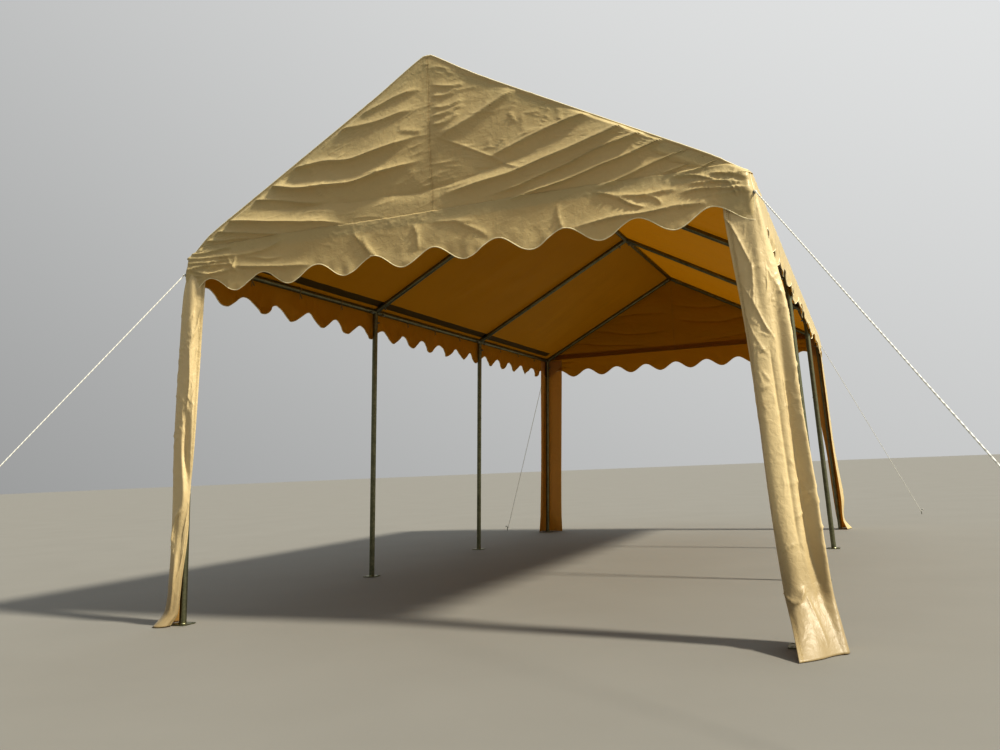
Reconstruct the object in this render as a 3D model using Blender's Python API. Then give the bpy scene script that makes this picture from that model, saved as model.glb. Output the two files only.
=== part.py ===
"""Party marquee of three bays: a frame of galvanised tube under a cloth cover.

Every length is in metres and +Z is up. The origin is on the ground in the middle of the
plan. The gable at -Y is the front, and left and right are as seen from there, so the
right is +X. The frames are numbered from the front to the back.
"""
import math

import bmesh
import bpy
from mathutils import Euler, Matrix, Vector

# The frame, measured between the axes of the tubes
FRAME_WIDTH = 3.0
BAY_LENGTH = 2.0
BAY_COUNT = 3
EAVE_HEIGHT = 1.99
RIDGE_HEIGHT = 2.80
FOOT_SPREAD = 0.09

# Tubes and their fittings
TUBE_DIAMETER = 0.038
SLEEVE_THICKNESS = 0.001
SLEEVE_REACH = 0.12
HUB_PROUD = 0.0012
FOOT_PLATE_WIDTH = 0.10
FOOT_PLATE_THICKNESS = 0.005

# The cover
CLOTH_THICKNESS = 0.004
VALANCE_DROP = 0.205
SCALLOP_PITCH = 0.34
SCALLOP_DEPTH = 0.080
LEG_COVER_WIDTH = 0.18
LEG_COVER_KICK_HEIGHT = 0.22
LEG_COVER_KICK_ASIDE = 0.055
LEG_COVER_KICK_AHEAD = 0.145

# Guy ropes: how far each peg stands outside its corner, sideways and lengthwise
FRONT_PEG_SIDEWAYS_REACH = 1.10
FAR_PEG_LENGTHWISE_REACH = 2.10
FRONT_LEFT_PEG_LENGTHWISE_REACH = 1.25
BACK_LEFT_PEG_SIDEWAYS_REACH = 0.68
BACK_LEFT_PEG_LENGTHWISE_REACH = 0.22
BACK_RIGHT_PEG_SIDEWAYS_REACH = 0.96
ROPE_DIAMETER = 0.006
KNOT_DIAMETER = 0.016
ROPE_TOP_DROP = 0.085
PEG_DIAMETER = 0.008
PEG_HEIGHT = 0.060
PEG_HOOK_RADIUS = 0.010
PEG_ROPE_HEIGHT = 0.040

# The gap left between pieces that touch
SEAT_GAP = 0.0003

# The facets of a hub and of each of its sleeves are turned out of line with one another
HUB_TURN = Euler((math.radians(13), math.radians(7), math.radians(5))).to_matrix().to_4x4()
SLEEVE_ROLL = math.radians(4)

# How finely the round pieces and the scallops are divided
TUBE_SIDES = 24
HUB_SIDES = 16
ROPE_SIDES = 12
KNOT_STEPS = 5
HOOK_STEPS = 6
POINTS_IN_SCALLOP = 12
SMOOTH_ANGLE = math.radians(40)

SIDES = {"left": -1, "right": 1}
ENDS = {"front": -1, "back": 1}

# Sizes that follow from those above
half_width = FRAME_WIDTH / 2
half_length = BAY_COUNT * BAY_LENGTH / 2
slope = math.atan2(RIDGE_HEIGHT - EAVE_HEIGHT, half_width)
lean = math.atan2(FOOT_SPREAD, EAVE_HEIGHT)
sleeve_diameter = TUBE_DIAMETER + 2 * SLEEVE_THICKNESS
hub_radius = sleeve_diameter / 2 + HUB_PROUD
frame_places = [i * BAY_LENGTH - half_length for i in range(BAY_COUNT + 1)]

# Each sleeve starts inside the hub, clear of the sleeve that leaves the other way
sleeve_start = HUB_PROUD

# Where each peg stands outside its corner
peg_places = {
    ("left", "front"): (FRONT_PEG_SIDEWAYS_REACH, FRONT_LEFT_PEG_LENGTHWISE_REACH),
    ("right", "front"): (FRONT_PEG_SIDEWAYS_REACH, FAR_PEG_LENGTHWISE_REACH),
    ("left", "back"): (BACK_LEFT_PEG_SIDEWAYS_REACH, BACK_LEFT_PEG_LENGTHWISE_REACH),
    ("right", "back"): (BACK_RIGHT_PEG_SIDEWAYS_REACH, FAR_PEG_LENGTHWISE_REACH),
}

# The leg cover hugs the hub and the post, and is kicked out past the foot plate
cover_offset = hub_radius + SEAT_GAP + CLOTH_THICKNESS
cover_foot_offset = FOOT_PLATE_WIDTH / 2 + SEAT_GAP + CLOTH_THICKNESS

# The valance hangs round the leg cover, and the roof lies on the hubs
valance_inside = cover_offset + SEAT_GAP
valance_outside = valance_inside + CLOTH_THICKNESS
roof_underside = hub_radius + SEAT_GAP
roof_top = roof_underside + CLOTH_THICKNESS


def clear_scene():
    for thing in list(bpy.data.objects):
        bpy.data.objects.remove(thing, do_unlink=True)


def finish(name, colour, roughness, metallic):
    """A material with one plain colour."""
    material = bpy.data.materials.new(name)
    material.use_nodes = True
    shader = material.node_tree.nodes["Principled BSDF"]
    shader.inputs["Base Color"].default_value = (*colour, 1.0)
    shader.inputs["Roughness"].default_value = roughness
    shader.inputs["Metallic"].default_value = metallic
    return material


def galvanised_tube(name):
    return finish(name, (0.36, 0.37, 0.35), 0.42, 1.0)


def galvanised_fitting(name):
    return finish(name, (0.42, 0.43, 0.42), 0.50, 1.0)


def roof_cloth(name):
    return finish(name, (0.62, 0.52, 0.33), 0.45, 0.0)


def hanging_cloth(name):
    return finish(name, (0.70, 0.60, 0.40), 0.45, 0.0)


def rope_cord(name):
    return finish(name, (0.85, 0.85, 0.82), 0.80, 0.0)


def peg_steel(name):
    return finish(name, (0.55, 0.55, 0.52), 0.40, 1.0)


def new_mesh(name, bm):
    mesh = bpy.data.meshes.new(name)
    bmesh.ops.recalc_face_normals(bm, faces=bm.faces)
    bm.to_mesh(mesh)
    bm.free()
    return mesh


def show(name, mesh, material, smooth=False):
    """Link an object of this mesh, finished with its own material."""
    mesh.materials.clear()
    mesh.materials.append(material(name + "_finish"))
    if smooth:
        mesh.shade_smooth()
        mesh.set_sharp_from_angle(angle=SMOOTH_ANGLE)
    thing = bpy.data.objects.new(name, mesh)
    bpy.context.scene.collection.objects.link(thing)
    return thing


def aim(direction):
    """The rotation that turns +Z to this direction."""
    return Vector(direction).to_track_quat("Z", "Y")


def cylinder(bm, diameter, sides, bottom, top, direction=(0, 0, 1), roll=0):
    """A round bar along direction, from bottom to top measured from the origin."""
    turn = aim(direction).to_matrix().to_4x4() @ Matrix.Rotation(roll, 4, "Z")
    middle = Matrix.Translation((0, 0, (bottom + top) / 2))
    bmesh.ops.create_cone(
        bm, cap_ends=True, segments=sides, radius1=diameter / 2, radius2=diameter / 2,
        depth=top - bottom, matrix=turn @ middle)


def fused(name, pieces):
    """One closed mesh, the Boolean union of several closed ones."""
    things = []
    for number, bm in enumerate(pieces):
        mesh = new_mesh(f"{name}_piece_{number}", bm)
        thing = bpy.data.objects.new(mesh.name, mesh)
        bpy.context.scene.collection.objects.link(thing)
        things.append(thing)
    for tool in things[1:]:
        union = things[0].modifiers.new(tool.name, "BOOLEAN")
        union.operation = "UNION"
        union.solver = "EXACT"
        union.object = tool
    evaluated = things[0].evaluated_get(bpy.context.evaluated_depsgraph_get())
    mesh = bpy.data.meshes.new_from_object(evaluated)
    mesh.name = name
    for thing in things:
        bpy.data.objects.remove(thing, do_unlink=True)
    return mesh


def foot_point(side, place):
    return Vector((SIDES[side] * (half_width + FOOT_SPREAD), place, 0))


def eave_point(side, place):
    return Vector((SIDES[side] * half_width, place, EAVE_HEIGHT))


def ridge_point(place):
    return Vector((0, place, RIDGE_HEIGHT))


def post(name, side, place):
    """A leaning post welded to a flat foot plate, up to the sleeve of its eave fitting."""
    foot = foot_point(side, place)
    towards_eave = eave_point(side, place) - foot
    plate = bmesh.new()
    bmesh.ops.create_cube(plate, size=1)
    bmesh.ops.scale(plate, verts=plate.verts,
                    vec=(FOOT_PLATE_WIDTH, FOOT_PLATE_WIDTH, FOOT_PLATE_THICKNESS))
    bmesh.ops.translate(plate, verts=plate.verts, vec=(0, 0, FOOT_PLATE_THICKNESS / 2))
    tube = bmesh.new()
    cylinder(tube, TUBE_DIAMETER, TUBE_SIDES, FOOT_PLATE_THICKNESS / 2,
             towards_eave.length - SLEEVE_REACH - SEAT_GAP, towards_eave)
    thing = show(name, fused(name, [plate, tube]), galvanised_tube, smooth=True)
    thing.location = foot
    return thing


def tube_between(name, start, end):
    """A straight tube between the sleeves of two fittings."""
    run = end - start
    shortening = SLEEVE_REACH + SEAT_GAP
    bm = bmesh.new()
    cylinder(bm, TUBE_DIAMETER, TUBE_SIDES, shortening, run.length - shortening)
    thing = show(name, new_mesh(name, bm), galvanised_tube, smooth=True)
    thing.location = start
    thing.rotation_euler = aim(run).to_euler()
    return thing


def fitting(name, centre, neighbours):
    """A hub with a sleeve towards each of the tubes that meet there."""
    hub = bmesh.new()
    bmesh.ops.create_uvsphere(hub, u_segments=HUB_SIDES, v_segments=HUB_SIDES // 2,
                              radius=hub_radius, matrix=HUB_TURN)
    pieces = [hub]
    for number, neighbour in enumerate(neighbours):
        sleeve = bmesh.new()
        cylinder(sleeve, sleeve_diameter, TUBE_SIDES, sleeve_start, SLEEVE_REACH,
                 neighbour - centre, number * SLEEVE_ROLL)
        pieces.append(sleeve)
    thing = show(name, fused(name, pieces), galvanised_fitting, smooth=True)
    thing.location = centre
    return thing


def neighbours_along(point_at, number):
    """The joints before and behind this frame, on the same line of tubes."""
    numbers = [n for n in (number - 1, number + 1) if 0 <= n < len(frame_places)]
    return [point_at(frame_places[n]) for n in numbers]


def make_frame():
    """Posts, fittings, rafters and the tubes that run lengthwise."""
    for number, place in enumerate(frame_places):
        label = number + 1
        ridge = ridge_point(place)
        for side in SIDES:
            eave = eave_point(side, place)
            post(f"post_{side}_{label}", side, place)
            tube_between(f"rafter_{side}_{label}", eave, ridge)
            along = neighbours_along(lambda y, s=side: eave_point(s, y), number)
            fitting(f"eave_fitting_{side}_{label}", eave,
                    [foot_point(side, place), ridge] + along)
        eaves = [eave_point(side, place) for side in SIDES]
        fitting(f"ridge_fitting_{label}", ridge, eaves + neighbours_along(ridge_point, number))
    for bay in range(BAY_COUNT):
        front, back = frame_places[bay], frame_places[bay + 1]
        tube_between(f"ridge_tube_{bay + 1}", ridge_point(front), ridge_point(back))
        for side in SIDES:
            tube_between(f"eave_tube_{side}_{bay + 1}",
                         eave_point(side, front), eave_point(side, back))


def roof_height(x, offset):
    """The height at x of a slope that lies this far above the axes of the rafters."""
    past_eave = abs(x) - half_width
    return EAVE_HEIGHT + (offset - past_eave * math.sin(slope)) / math.cos(slope)


def leaning_x(z):
    """Where the axis of a right-hand post is at this height."""
    return half_width + FOOT_SPREAD * (EAVE_HEIGHT - z) / EAVE_HEIGHT


def slab(name, outline, depth, place, along, up, material):
    """A flat outline, drawn along and up from place, with this depth towards the viewer."""
    bm = bmesh.new()
    face = bm.faces.new([bm.verts.new((u, v, 0)) for u, v in outline])
    grown = bmesh.ops.extrude_face_region(bm, geom=[face])
    front = [part for part in grown["geom"] if isinstance(part, bmesh.types.BMVert)]
    bmesh.ops.translate(bm, verts=front, vec=(0, 0, depth))
    thing = show(name, new_mesh(name, bm), material)
    along = Vector(along)
    up = Vector(up)
    thing.location = place
    thing.rotation_euler = Matrix((along, up, along.cross(up))).transposed().to_euler()
    return thing


def scalloped_edge(reach, bottom):
    """Points from -reach to reach along a row of tongues, with half a tongue at each end."""
    count = round(2 * reach / SCALLOP_PITCH)
    steps = count * POINTS_IN_SCALLOP
    points = []
    for step in range(steps + 1):
        share = step / steps
        wave = (1 - math.cos(2 * math.pi * count * share)) / 2
        points.append((reach * (2 * share - 1), bottom + SCALLOP_DEPTH * wave))
    return points


def roof_panel(side):
    """One slope of the roof, from the ridge to the outer face of the valance."""
    inner = SEAT_GAP / 2
    outer = half_width + valance_outside
    section = [
        (inner, roof_height(inner, roof_underside)),
        (outer, roof_height(outer, roof_underside)),
        (outer, roof_height(outer, roof_top)),
        (inner, roof_height(inner, roof_top)),
    ]
    if side == "left":
        section = [(-x, z) for x, z in reversed(section)]
    end = half_length + valance_outside
    return slab(f"roof_panel_{side}", section, 2 * end, (0, end, 0),
                (1, 0, 0), (0, 0, 1), roof_cloth)


def gable(end):
    """The closed triangle of one end, in one piece with the valance below it."""
    under_roof = roof_underside - SEAT_GAP
    bottom = EAVE_HEIGHT - VALANCE_DROP
    corner_x = half_width + valance_outside
    outline = scalloped_edge(leaning_x(bottom) + valance_outside, bottom)
    outline += [
        (corner_x, roof_height(corner_x, under_roof)),
        (0, roof_height(0, under_roof)),
        (-corner_x, roof_height(corner_x, under_roof)),
    ]
    facing = -ENDS[end]
    place = (0, ENDS[end] * (half_length + valance_inside), 0)
    return slab(f"gable_{end}", outline, CLOTH_THICKNESS, place,
                (facing, 0, 0), (0, 0, 1), roof_cloth)


def side_valance(side):
    """The scalloped strip along one eave, leaning as the posts do."""
    outward = SIDES[side]
    outer = half_width + valance_outside
    under_roof = roof_height(outer, roof_underside - SEAT_GAP) - EAVE_HEIGHT
    top = under_roof / math.cos(lean) - CLOTH_THICKNESS * math.tan(lean)
    reach = half_length + valance_inside - SEAT_GAP
    outline = scalloped_edge(reach, -VALANCE_DROP / math.cos(lean))
    outline += [(reach, top), (-reach, top)]
    place = (outward * (half_width + valance_inside), 0, EAVE_HEIGHT)
    up = (-outward * math.sin(lean), 0, math.cos(lean))
    return slab(f"valance_{side}", outline, CLOTH_THICKNESS, place,
                (0, outward, 0), up, hanging_cloth)


def angle_outline(corner_x, corner_y):
    """An L seen from above, with its outer corner here and its arms towards the tent."""
    inner_x = corner_x - LEG_COVER_WIDTH
    inner_y = corner_y - LEG_COVER_WIDTH
    return [
        (corner_x, corner_y),
        (inner_x, corner_y),
        (inner_x, corner_y - CLOTH_THICKNESS),
        (corner_x - CLOTH_THICKNESS, corner_y - CLOTH_THICKNESS),
        (corner_x - CLOTH_THICKNESS, inner_y),
        (corner_x, inner_y),
    ]


def leg_cover(side, end):
    """Cloth round the outside of a corner post, with its foot kicked out on the ground."""
    foot_aside = cover_foot_offset + LEG_COVER_KICK_ASIDE
    foot_ahead = cover_foot_offset + LEG_COVER_KICK_AHEAD
    stations = (
        (0, foot_aside, foot_ahead),
        (LEG_COVER_KICK_HEIGHT, cover_offset, cover_offset),
        (EAVE_HEIGHT, cover_offset, cover_offset),
    )
    bm = bmesh.new()
    loops = []
    for height, aside, ahead in stations:
        outline = angle_outline(leaning_x(height) + aside, half_length + ahead)
        loops.append([bm.verts.new((SIDES[side] * x, ENDS[end] * y, height))
                      for x, y in outline])
    bm.faces.new(loops[0])
    bm.faces.new(loops[-1])
    for lower, upper in zip(loops, loops[1:]):
        for first in range(len(lower)):
            second = (first + 1) % len(lower)
            bm.faces.new((lower[first], lower[second], upper[second], upper[first]))
    name = f"leg_cover_{side}_{end}"
    return show(name, new_mesh(name, bm), hanging_cloth)


def rope_profile(length):
    """Half the outline of a rope along +Z with a round knot at each end."""
    knot = KNOT_DIAMETER / 2
    meeting = math.asin(ROPE_DIAMETER / KNOT_DIAMETER)
    angles = [math.pi - (math.pi - meeting) * i / KNOT_STEPS for i in range(KNOT_STEPS + 1)]
    lower = [(knot * math.sin(a), knot * math.cos(a)) for a in angles]
    upper = [(x, length - z) for x, z in reversed(lower)]
    return lower + upper


def guy_rope(side, end):
    """A taut rope from a knot at the corner of the valance to a knot at its peg."""
    top_height = EAVE_HEIGHT - ROPE_TOP_DROP
    aside = (KNOT_DIAMETER / 2 + SEAT_GAP) * math.sqrt(0.5)
    top = Vector((SIDES[side] * (leaning_x(top_height) + valance_outside + aside),
                  ENDS[end] * (half_length + valance_outside + aside), top_height))
    peg_foot = peg_point(side, end)
    back = Vector((top.x - peg_foot.x, top.y - peg_foot.y, 0)).normalized()
    beside_peg = KNOT_DIAMETER / 2 + SEAT_GAP + PEG_DIAMETER / 2
    bottom = peg_foot + back * beside_peg + Vector((0, 0, PEG_ROPE_HEIGHT))
    run = top - bottom
    bm = bmesh.new()
    verts = [bm.verts.new((x, 0, z)) for x, z in rope_profile(run.length)]
    edges = [bm.edges.new(pair) for pair in zip(verts, verts[1:])]
    bmesh.ops.spin(bm, geom=verts + edges, cent=(0, 0, 0), axis=(0, 0, 1),
                   angle=2 * math.pi, steps=ROPE_SIDES, use_merge=True)
    bmesh.ops.remove_doubles(bm, verts=bm.verts, dist=1e-6)
    name = f"guy_rope_{side}_{end}"
    thing = show(name, new_mesh(name, bm), rope_cord, smooth=True)
    thing.location = bottom
    thing.rotation_euler = aim(run).to_euler()
    return thing


def peg_point(side, end):
    outside, beyond = peg_places[side, end]
    return Vector((SIDES[side] * (half_width + outside), ENDS[end] * (half_length + beyond), 0))


def peg(side, end):
    """What stands above the ground of a steel peg whose hook points away from the tent."""
    outward = SIDES[side]
    shaft_top = PEG_HEIGHT - PEG_HOOK_RADIUS - PEG_DIAMETER / 2
    points = [(0, 0, 0), (0, 0, shaft_top)]
    for step in range(1, HOOK_STEPS + 1):
        turn = math.pi * step / HOOK_STEPS
        points.append((outward * PEG_HOOK_RADIUS * (1 - math.cos(turn)), 0,
                       shaft_top + PEG_HOOK_RADIUS * math.sin(turn)))
    name = f"peg_{side}_{end}"
    curve = bpy.data.curves.new(name, "CURVE")
    curve.dimensions = "3D"
    curve.bevel_depth = PEG_DIAMETER / 2
    curve.bevel_resolution = 3
    curve.use_fill_caps = True
    spline = curve.splines.new("POLY")
    spline.points.add(len(points) - 1)
    for point, place in zip(spline.points, points):
        point.co = (*place, 1)
    curve.materials.append(peg_steel(name + "_finish"))
    thing = bpy.data.objects.new(name, curve)
    thing.location = peg_point(side, end)
    bpy.context.scene.collection.objects.link(thing)
    return thing


def make_cover():
    for side in SIDES:
        roof_panel(side)
        side_valance(side)
    for end in ENDS:
        gable(end)
        for side in SIDES:
            leg_cover(side, end)


def make_guys():
    for side, end in peg_places:
        guy_rope(side, end)
        peg(side, end)


clear_scene()
make_frame()
make_cover()
make_guys()
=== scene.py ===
"""Party marquee of three bays: the looks of its tubes, cloth, ropes and pegs.

Every length is in metres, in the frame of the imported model: +Z is up, the front gable is
at -Y, and left and right are as seen from there, so the right is +X. Only the tables of
folds, creases and leg sections are in millimetres.
"""
import math
from functools import partial

import bmesh
import bpy
import numpy as np
from mathutils import Matrix, Vector


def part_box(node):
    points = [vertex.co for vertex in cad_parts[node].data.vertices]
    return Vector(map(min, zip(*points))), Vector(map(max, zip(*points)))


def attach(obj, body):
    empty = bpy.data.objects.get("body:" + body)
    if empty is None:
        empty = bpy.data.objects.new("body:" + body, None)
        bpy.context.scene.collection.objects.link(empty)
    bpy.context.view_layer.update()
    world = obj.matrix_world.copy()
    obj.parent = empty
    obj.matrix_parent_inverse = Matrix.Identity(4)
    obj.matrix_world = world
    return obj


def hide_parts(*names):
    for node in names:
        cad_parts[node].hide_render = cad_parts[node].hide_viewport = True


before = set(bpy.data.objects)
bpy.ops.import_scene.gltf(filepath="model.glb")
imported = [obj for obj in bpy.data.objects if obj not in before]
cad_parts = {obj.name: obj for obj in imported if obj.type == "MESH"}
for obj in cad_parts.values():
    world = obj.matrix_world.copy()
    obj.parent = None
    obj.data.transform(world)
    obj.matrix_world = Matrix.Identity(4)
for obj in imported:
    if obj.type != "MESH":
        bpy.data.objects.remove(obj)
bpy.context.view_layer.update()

# The lines of the frame
# The cloth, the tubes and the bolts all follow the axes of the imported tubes: two eaves,
# one ridge, and four frames that stand one bay apart with their posts splayed outwards.
SIDES = {"left": -1, "right": 1}
ENDS = {"front": -1, "back": 1}
CORNERS = [(side, end, SIDES[side], ENDS[end]) for side in SIDES for end in ENDS]
eave_low, eave_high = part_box("eave_tube_right_1")
eave_x = (eave_low.x + eave_high.x) / 2
eave_z = (eave_low.z + eave_high.z) / 2
tube_radius = (eave_high.z - eave_low.z) / 2
ridge_low, ridge_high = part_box("ridge_tube_1")
ridge_z = (ridge_low.z + ridge_high.z) / 2
frame_places = []
for number in range(1, 5):
    post_low, post_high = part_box(f"post_right_{number}")
    frame_places.append((post_low.y + post_high.y) / 2)
plate_width = post_high.y - post_low.y
foot_x = post_high.x - plate_width / 2
half_length = frame_places[-1]
bay_length = frame_places[1] - frame_places[0]
slope = math.atan2(ridge_z - eave_z, eave_x)
slope_length = math.hypot(ridge_z - eave_z, eave_x)
lean = (foot_x - eave_x) / eave_z
slope_sine, slope_cosine = math.sin(slope), math.cos(slope)


# The studio
# A plain pale floor under a soft grey sky, with one warm key light low on the right. The
# camera crouches outside the front right leg and looks up along the tent.
CAMERA_PLACE = (1.893, -6.911, 0.782)
CAMERA_TURN_LEFT = math.radians(21.984)
CAMERA_TILT_UP = math.radians(5.803)
CAMERA_ROLL = math.radians(-2.297)
CAMERA_LENS_MM = 32.17
SENSOR_WIDTH_MM = 36.0
SUN_DIRECTION = Vector((0.72, -0.10, 0.68))
SUN_STRENGTH = 3.7
SUN_ANGLE = math.radians(6)
SUN_COLOUR = (1.0, 0.93, 0.80)
SOFT_BOX_DIRECTION = Vector((0.40, 0.36, 0.85))
SKY_STRENGTH = 0.94
FLOOR_RADIUS = 90.0
FLOOR_DROP = 0.0008
CLOUD_WIDTH = 0.7


def linear(hex_colour):
    """The linear RGBA value of an sRGB hex colour."""
    channels = [int(hex_colour[place:place + 2], 16) / 255 for place in (0, 2, 4)]
    return (*[c / 12.92 if c <= 0.04045 else ((c + 0.055) / 1.055) ** 2.4 for c in channels], 1.0)


def add_node(tree, kind, inputs=None, **settings):
    """A node of this kind. An input is a plain value, another node's output to link, or
    another node, whose first output in use is linked."""
    node = tree.nodes.new("ShaderNode" + kind)
    for name, value in settings.items():
        setattr(node, name, value)
    for name, value in (inputs or {}).items():
        if isinstance(value, bpy.types.Node):
            value = next(output for output in value.outputs if output.enabled)
        if isinstance(value, bpy.types.NodeSocket):
            tree.links.new(value, node.inputs[name])
        else:
            node.inputs[name].default_value = value
    return node


def new_material(name):
    """A material, the function that adds a node to it, and its texture coordinates."""
    material = bpy.data.materials.new(name)
    material.use_nodes = True
    material.node_tree.nodes.clear()
    add = partial(add_node, material.node_tree)
    return material, add, add("TexCoord").outputs


def in_scene(name, data):
    """A new object of the scene that shows this data."""
    thing = bpy.data.objects.new(name, data)
    bpy.context.scene.collection.objects.link(thing)
    return thing


def mesh_of(name, bm):
    """The mesh of a finished bmesh, which is freed."""
    mesh = bpy.data.meshes.new(name)
    bm.to_mesh(mesh)
    bm.free()
    return mesh


camera_data = bpy.data.cameras.new("camera")
camera_data.lens = CAMERA_LENS_MM
camera_data.sensor_width = SENSOR_WIDTH_MM
camera_data.clip_end = 4 * FLOOR_RADIUS
camera = in_scene("camera", camera_data)
camera.matrix_world = (Matrix.Translation(CAMERA_PLACE)
                       @ Matrix.Rotation(CAMERA_TURN_LEFT, 4, "Z")
                       @ Matrix.Rotation(math.pi / 2 + CAMERA_TILT_UP, 4, "X")
                       @ Matrix.Rotation(CAMERA_ROLL, 4, "Z"))
bpy.context.scene.camera = camera
bpy.context.scene.view_settings.view_transform = "Standard"
bpy.context.scene.view_settings.look = "High Contrast"

sun_data = bpy.data.lights.new("key_light", "SUN")
sun_data.energy = SUN_STRENGTH
sun_data.angle = SUN_ANGLE
sun_data.color = SUN_COLOUR
in_scene("key_light", sun_data).rotation_euler = SUN_DIRECTION.to_track_quat("Z", "Y").to_euler()

world = bpy.data.worlds.new("soft_sky")
world.use_nodes = True
background = world.node_tree.nodes["Background"]
background.inputs["Color"].default_value = linear("D7D8D8")
add = partial(add_node, world.node_tree)
towards = add("VectorMath", {0: add("TexCoord").outputs["Generated"],
                             1: SOFT_BOX_DIRECTION.normalized()}, operation="DOT_PRODUCT")
strength = add("MapRange", {"Value": towards.outputs["Value"], "From Min": -1.0,
                            "To Max": SKY_STRENGTH})
world.node_tree.links.new(strength.outputs["Result"], background.inputs["Strength"])
bpy.context.scene.world = world

# Smooth cement screed: matt and pale, with clouds that hardly show
screed, add, place = new_material("cement_screed")
clouds = add("TexNoise", {"Vector": place["Object"], "Scale": 1 / CLOUD_WIDTH, "Detail": 3.0})
colour = add("Mix", {"Factor": clouds, "A": linear("82817C"), "B": linear("888782")},
             data_type="RGBA")
shader = add("BsdfPrincipled", {"Base Color": colour, "Roughness": 0.85})
add("OutputMaterial", {"Surface": shader})

bm = bmesh.new()
bmesh.ops.create_circle(bm, cap_ends=True, segments=96, radius=FLOOR_RADIUS,
                        matrix=Matrix.Translation((0, 0, -FLOOR_DROP)))
floor_mesh = mesh_of("floor", bm)
floor_mesh.materials.append(screed)
in_scene("floor", floor_mesh)


# Tubes
# Rafters, ridge and eaves are drawn steel tube, 38 mm across, hot-dip galvanised. Each is
# cut square with its burr rubbed off, and slides into the sleeves of the fittings.
TUBE_SIDES = 32
SLEEVE_REACH = 0.12
TUBE_IN_SLEEVE = 0.004
BURR = 0.0008
SPANGLE_MM = 9
STAINS_PER_METRE = 14.0
SMOOTH_ANGLE = math.radians(35)


def galvanised_steel(name, pale, dark, roughness):
    """Hot-dip galvanised steel: grey zinc with soft crystal spangle, dulled by weather."""
    material, add, place = new_material(name)
    spangle = add("TexVoronoi", {"Vector": place["Object"], "Scale": 1000 / SPANGLE_MM})
    crystal = add("SeparateColor", {"Color": spangle.outputs["Color"]})
    weather = add("TexNoise", {"Vector": place["Object"], "Scale": STAINS_PER_METRE,
                               "Detail": 5.0})
    shade = add("Math", {0: crystal.outputs["Red"], 1: 0.35}, operation="MULTIPLY")
    total = add("Math", {0: shade, 1: weather}, operation="ADD")
    colour = add("Mix", {"Factor": total, "A": linear(dark), "B": linear(pale)},
                 data_type="RGBA")
    dulled = add("MapRange", {"Value": total, "To Min": roughness + 0.12,
                              "To Max": roughness - 0.06})
    bump = add("Bump", {"Height": weather, "Strength": 0.15, "Distance": 0.0006})
    shader = add("BsdfPrincipled", {"Base Color": colour, "Metallic": 1.0,
                                    "Roughness": dulled, "Normal": bump})
    add("OutputMaterial", {"Surface": shader})
    return material


tube_zinc = galvanised_steel("galvanised_tube_zinc", "95957C", "5E5F4A", 0.42)


def add_shape(bm, part, start=None, direction=None):
    """Move the shape in part into bm, from the origin to start and its +Z turned this way."""
    if start is not None:
        turn = Vector(direction).to_track_quat("Z", "Y").to_matrix().to_4x4()
        bmesh.ops.transform(part, matrix=Matrix.Translation(start) @ turn, verts=part.verts)
    mesh = mesh_of("part", part)
    bm.from_mesh(mesh)
    bpy.data.meshes.remove(mesh)


def turned(bm, outline, start, direction, sides=TUBE_SIDES, ring=False):
    """Add a round shape to bm, a solid one or a ring. The outline is (distance from start,
    radius) pairs."""
    outline = [*outline, outline[0]] if ring else [
        (outline[0][0], 0), *outline, (outline[-1][0], 0)]
    part = bmesh.new()
    corners = [part.verts.new((radius, 0, distance)) for distance, radius in outline]
    edges = [part.edges.new(pair) for pair in zip(corners, corners[1:])]
    bmesh.ops.spin(part, geom=corners + edges, cent=(0, 0, 0), axis=(0, 0, 1),
                   angle=2 * math.pi, steps=sides, use_merge=True)
    bmesh.ops.remove_doubles(part, verts=part.verts, dist=1e-6)
    bmesh.ops.recalc_face_normals(part, faces=part.faces)
    add_shape(bm, part, start, direction)


def new_piece(name, data):
    """A new piece of the tent, which stands still."""
    piece = in_scene(name, data)
    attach(piece, "root")
    return piece


def set_up(name, bm, material, slot, *nodes):
    """Make a rigid piece of this mesh, which stands for these CAD nodes."""
    mesh = mesh_of(name, bm)
    mesh.shade_smooth()
    mesh.set_sharp_from_angle(angle=SMOOTH_ANGLE)
    mesh.materials.append(material)
    piece = new_piece(name, mesh)
    if nodes:
        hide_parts(*nodes)


def eave_point(side, place):
    return Vector((SIDES[side] * eave_x, place, eave_z))


def foot_point(side, place):
    return Vector((SIDES[side] * foot_x, place, 0))


def ridge_point(place):
    return Vector((0, place, ridge_z))


def tube_outline(first, last):
    """A length of tube from first to last, with its burrs rubbed off."""
    return [(first, tube_radius - BURR), (first + BURR, tube_radius),
            (last - BURR, tube_radius), (last, tube_radius - BURR)]


def plain_tube(node, start, end):
    """A tube between two fittings, its square ends inside their sleeves."""
    inside = SLEEVE_REACH - TUBE_IN_SLEEVE
    bm = bmesh.new()
    turned(bm, tube_outline(inside, (end - start).length - inside), start, end - start)
    set_up(f"{node}_steel", bm, tube_zinc, "galvanised_tube", node)


for number, place in enumerate(frame_places, 1):
    for side in SIDES:
        plain_tube(f"rafter_{side}_{number}", eave_point(side, place), ridge_point(place))
for number, (front, back) in enumerate(zip(frame_places, frame_places[1:]), 1):
    plain_tube(f"ridge_tube_{number}", ridge_point(front), ridge_point(back))
    for side in SIDES:
        plain_tube(f"eave_tube_{side}_{number}", eave_point(side, front), eave_point(side, back))


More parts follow.
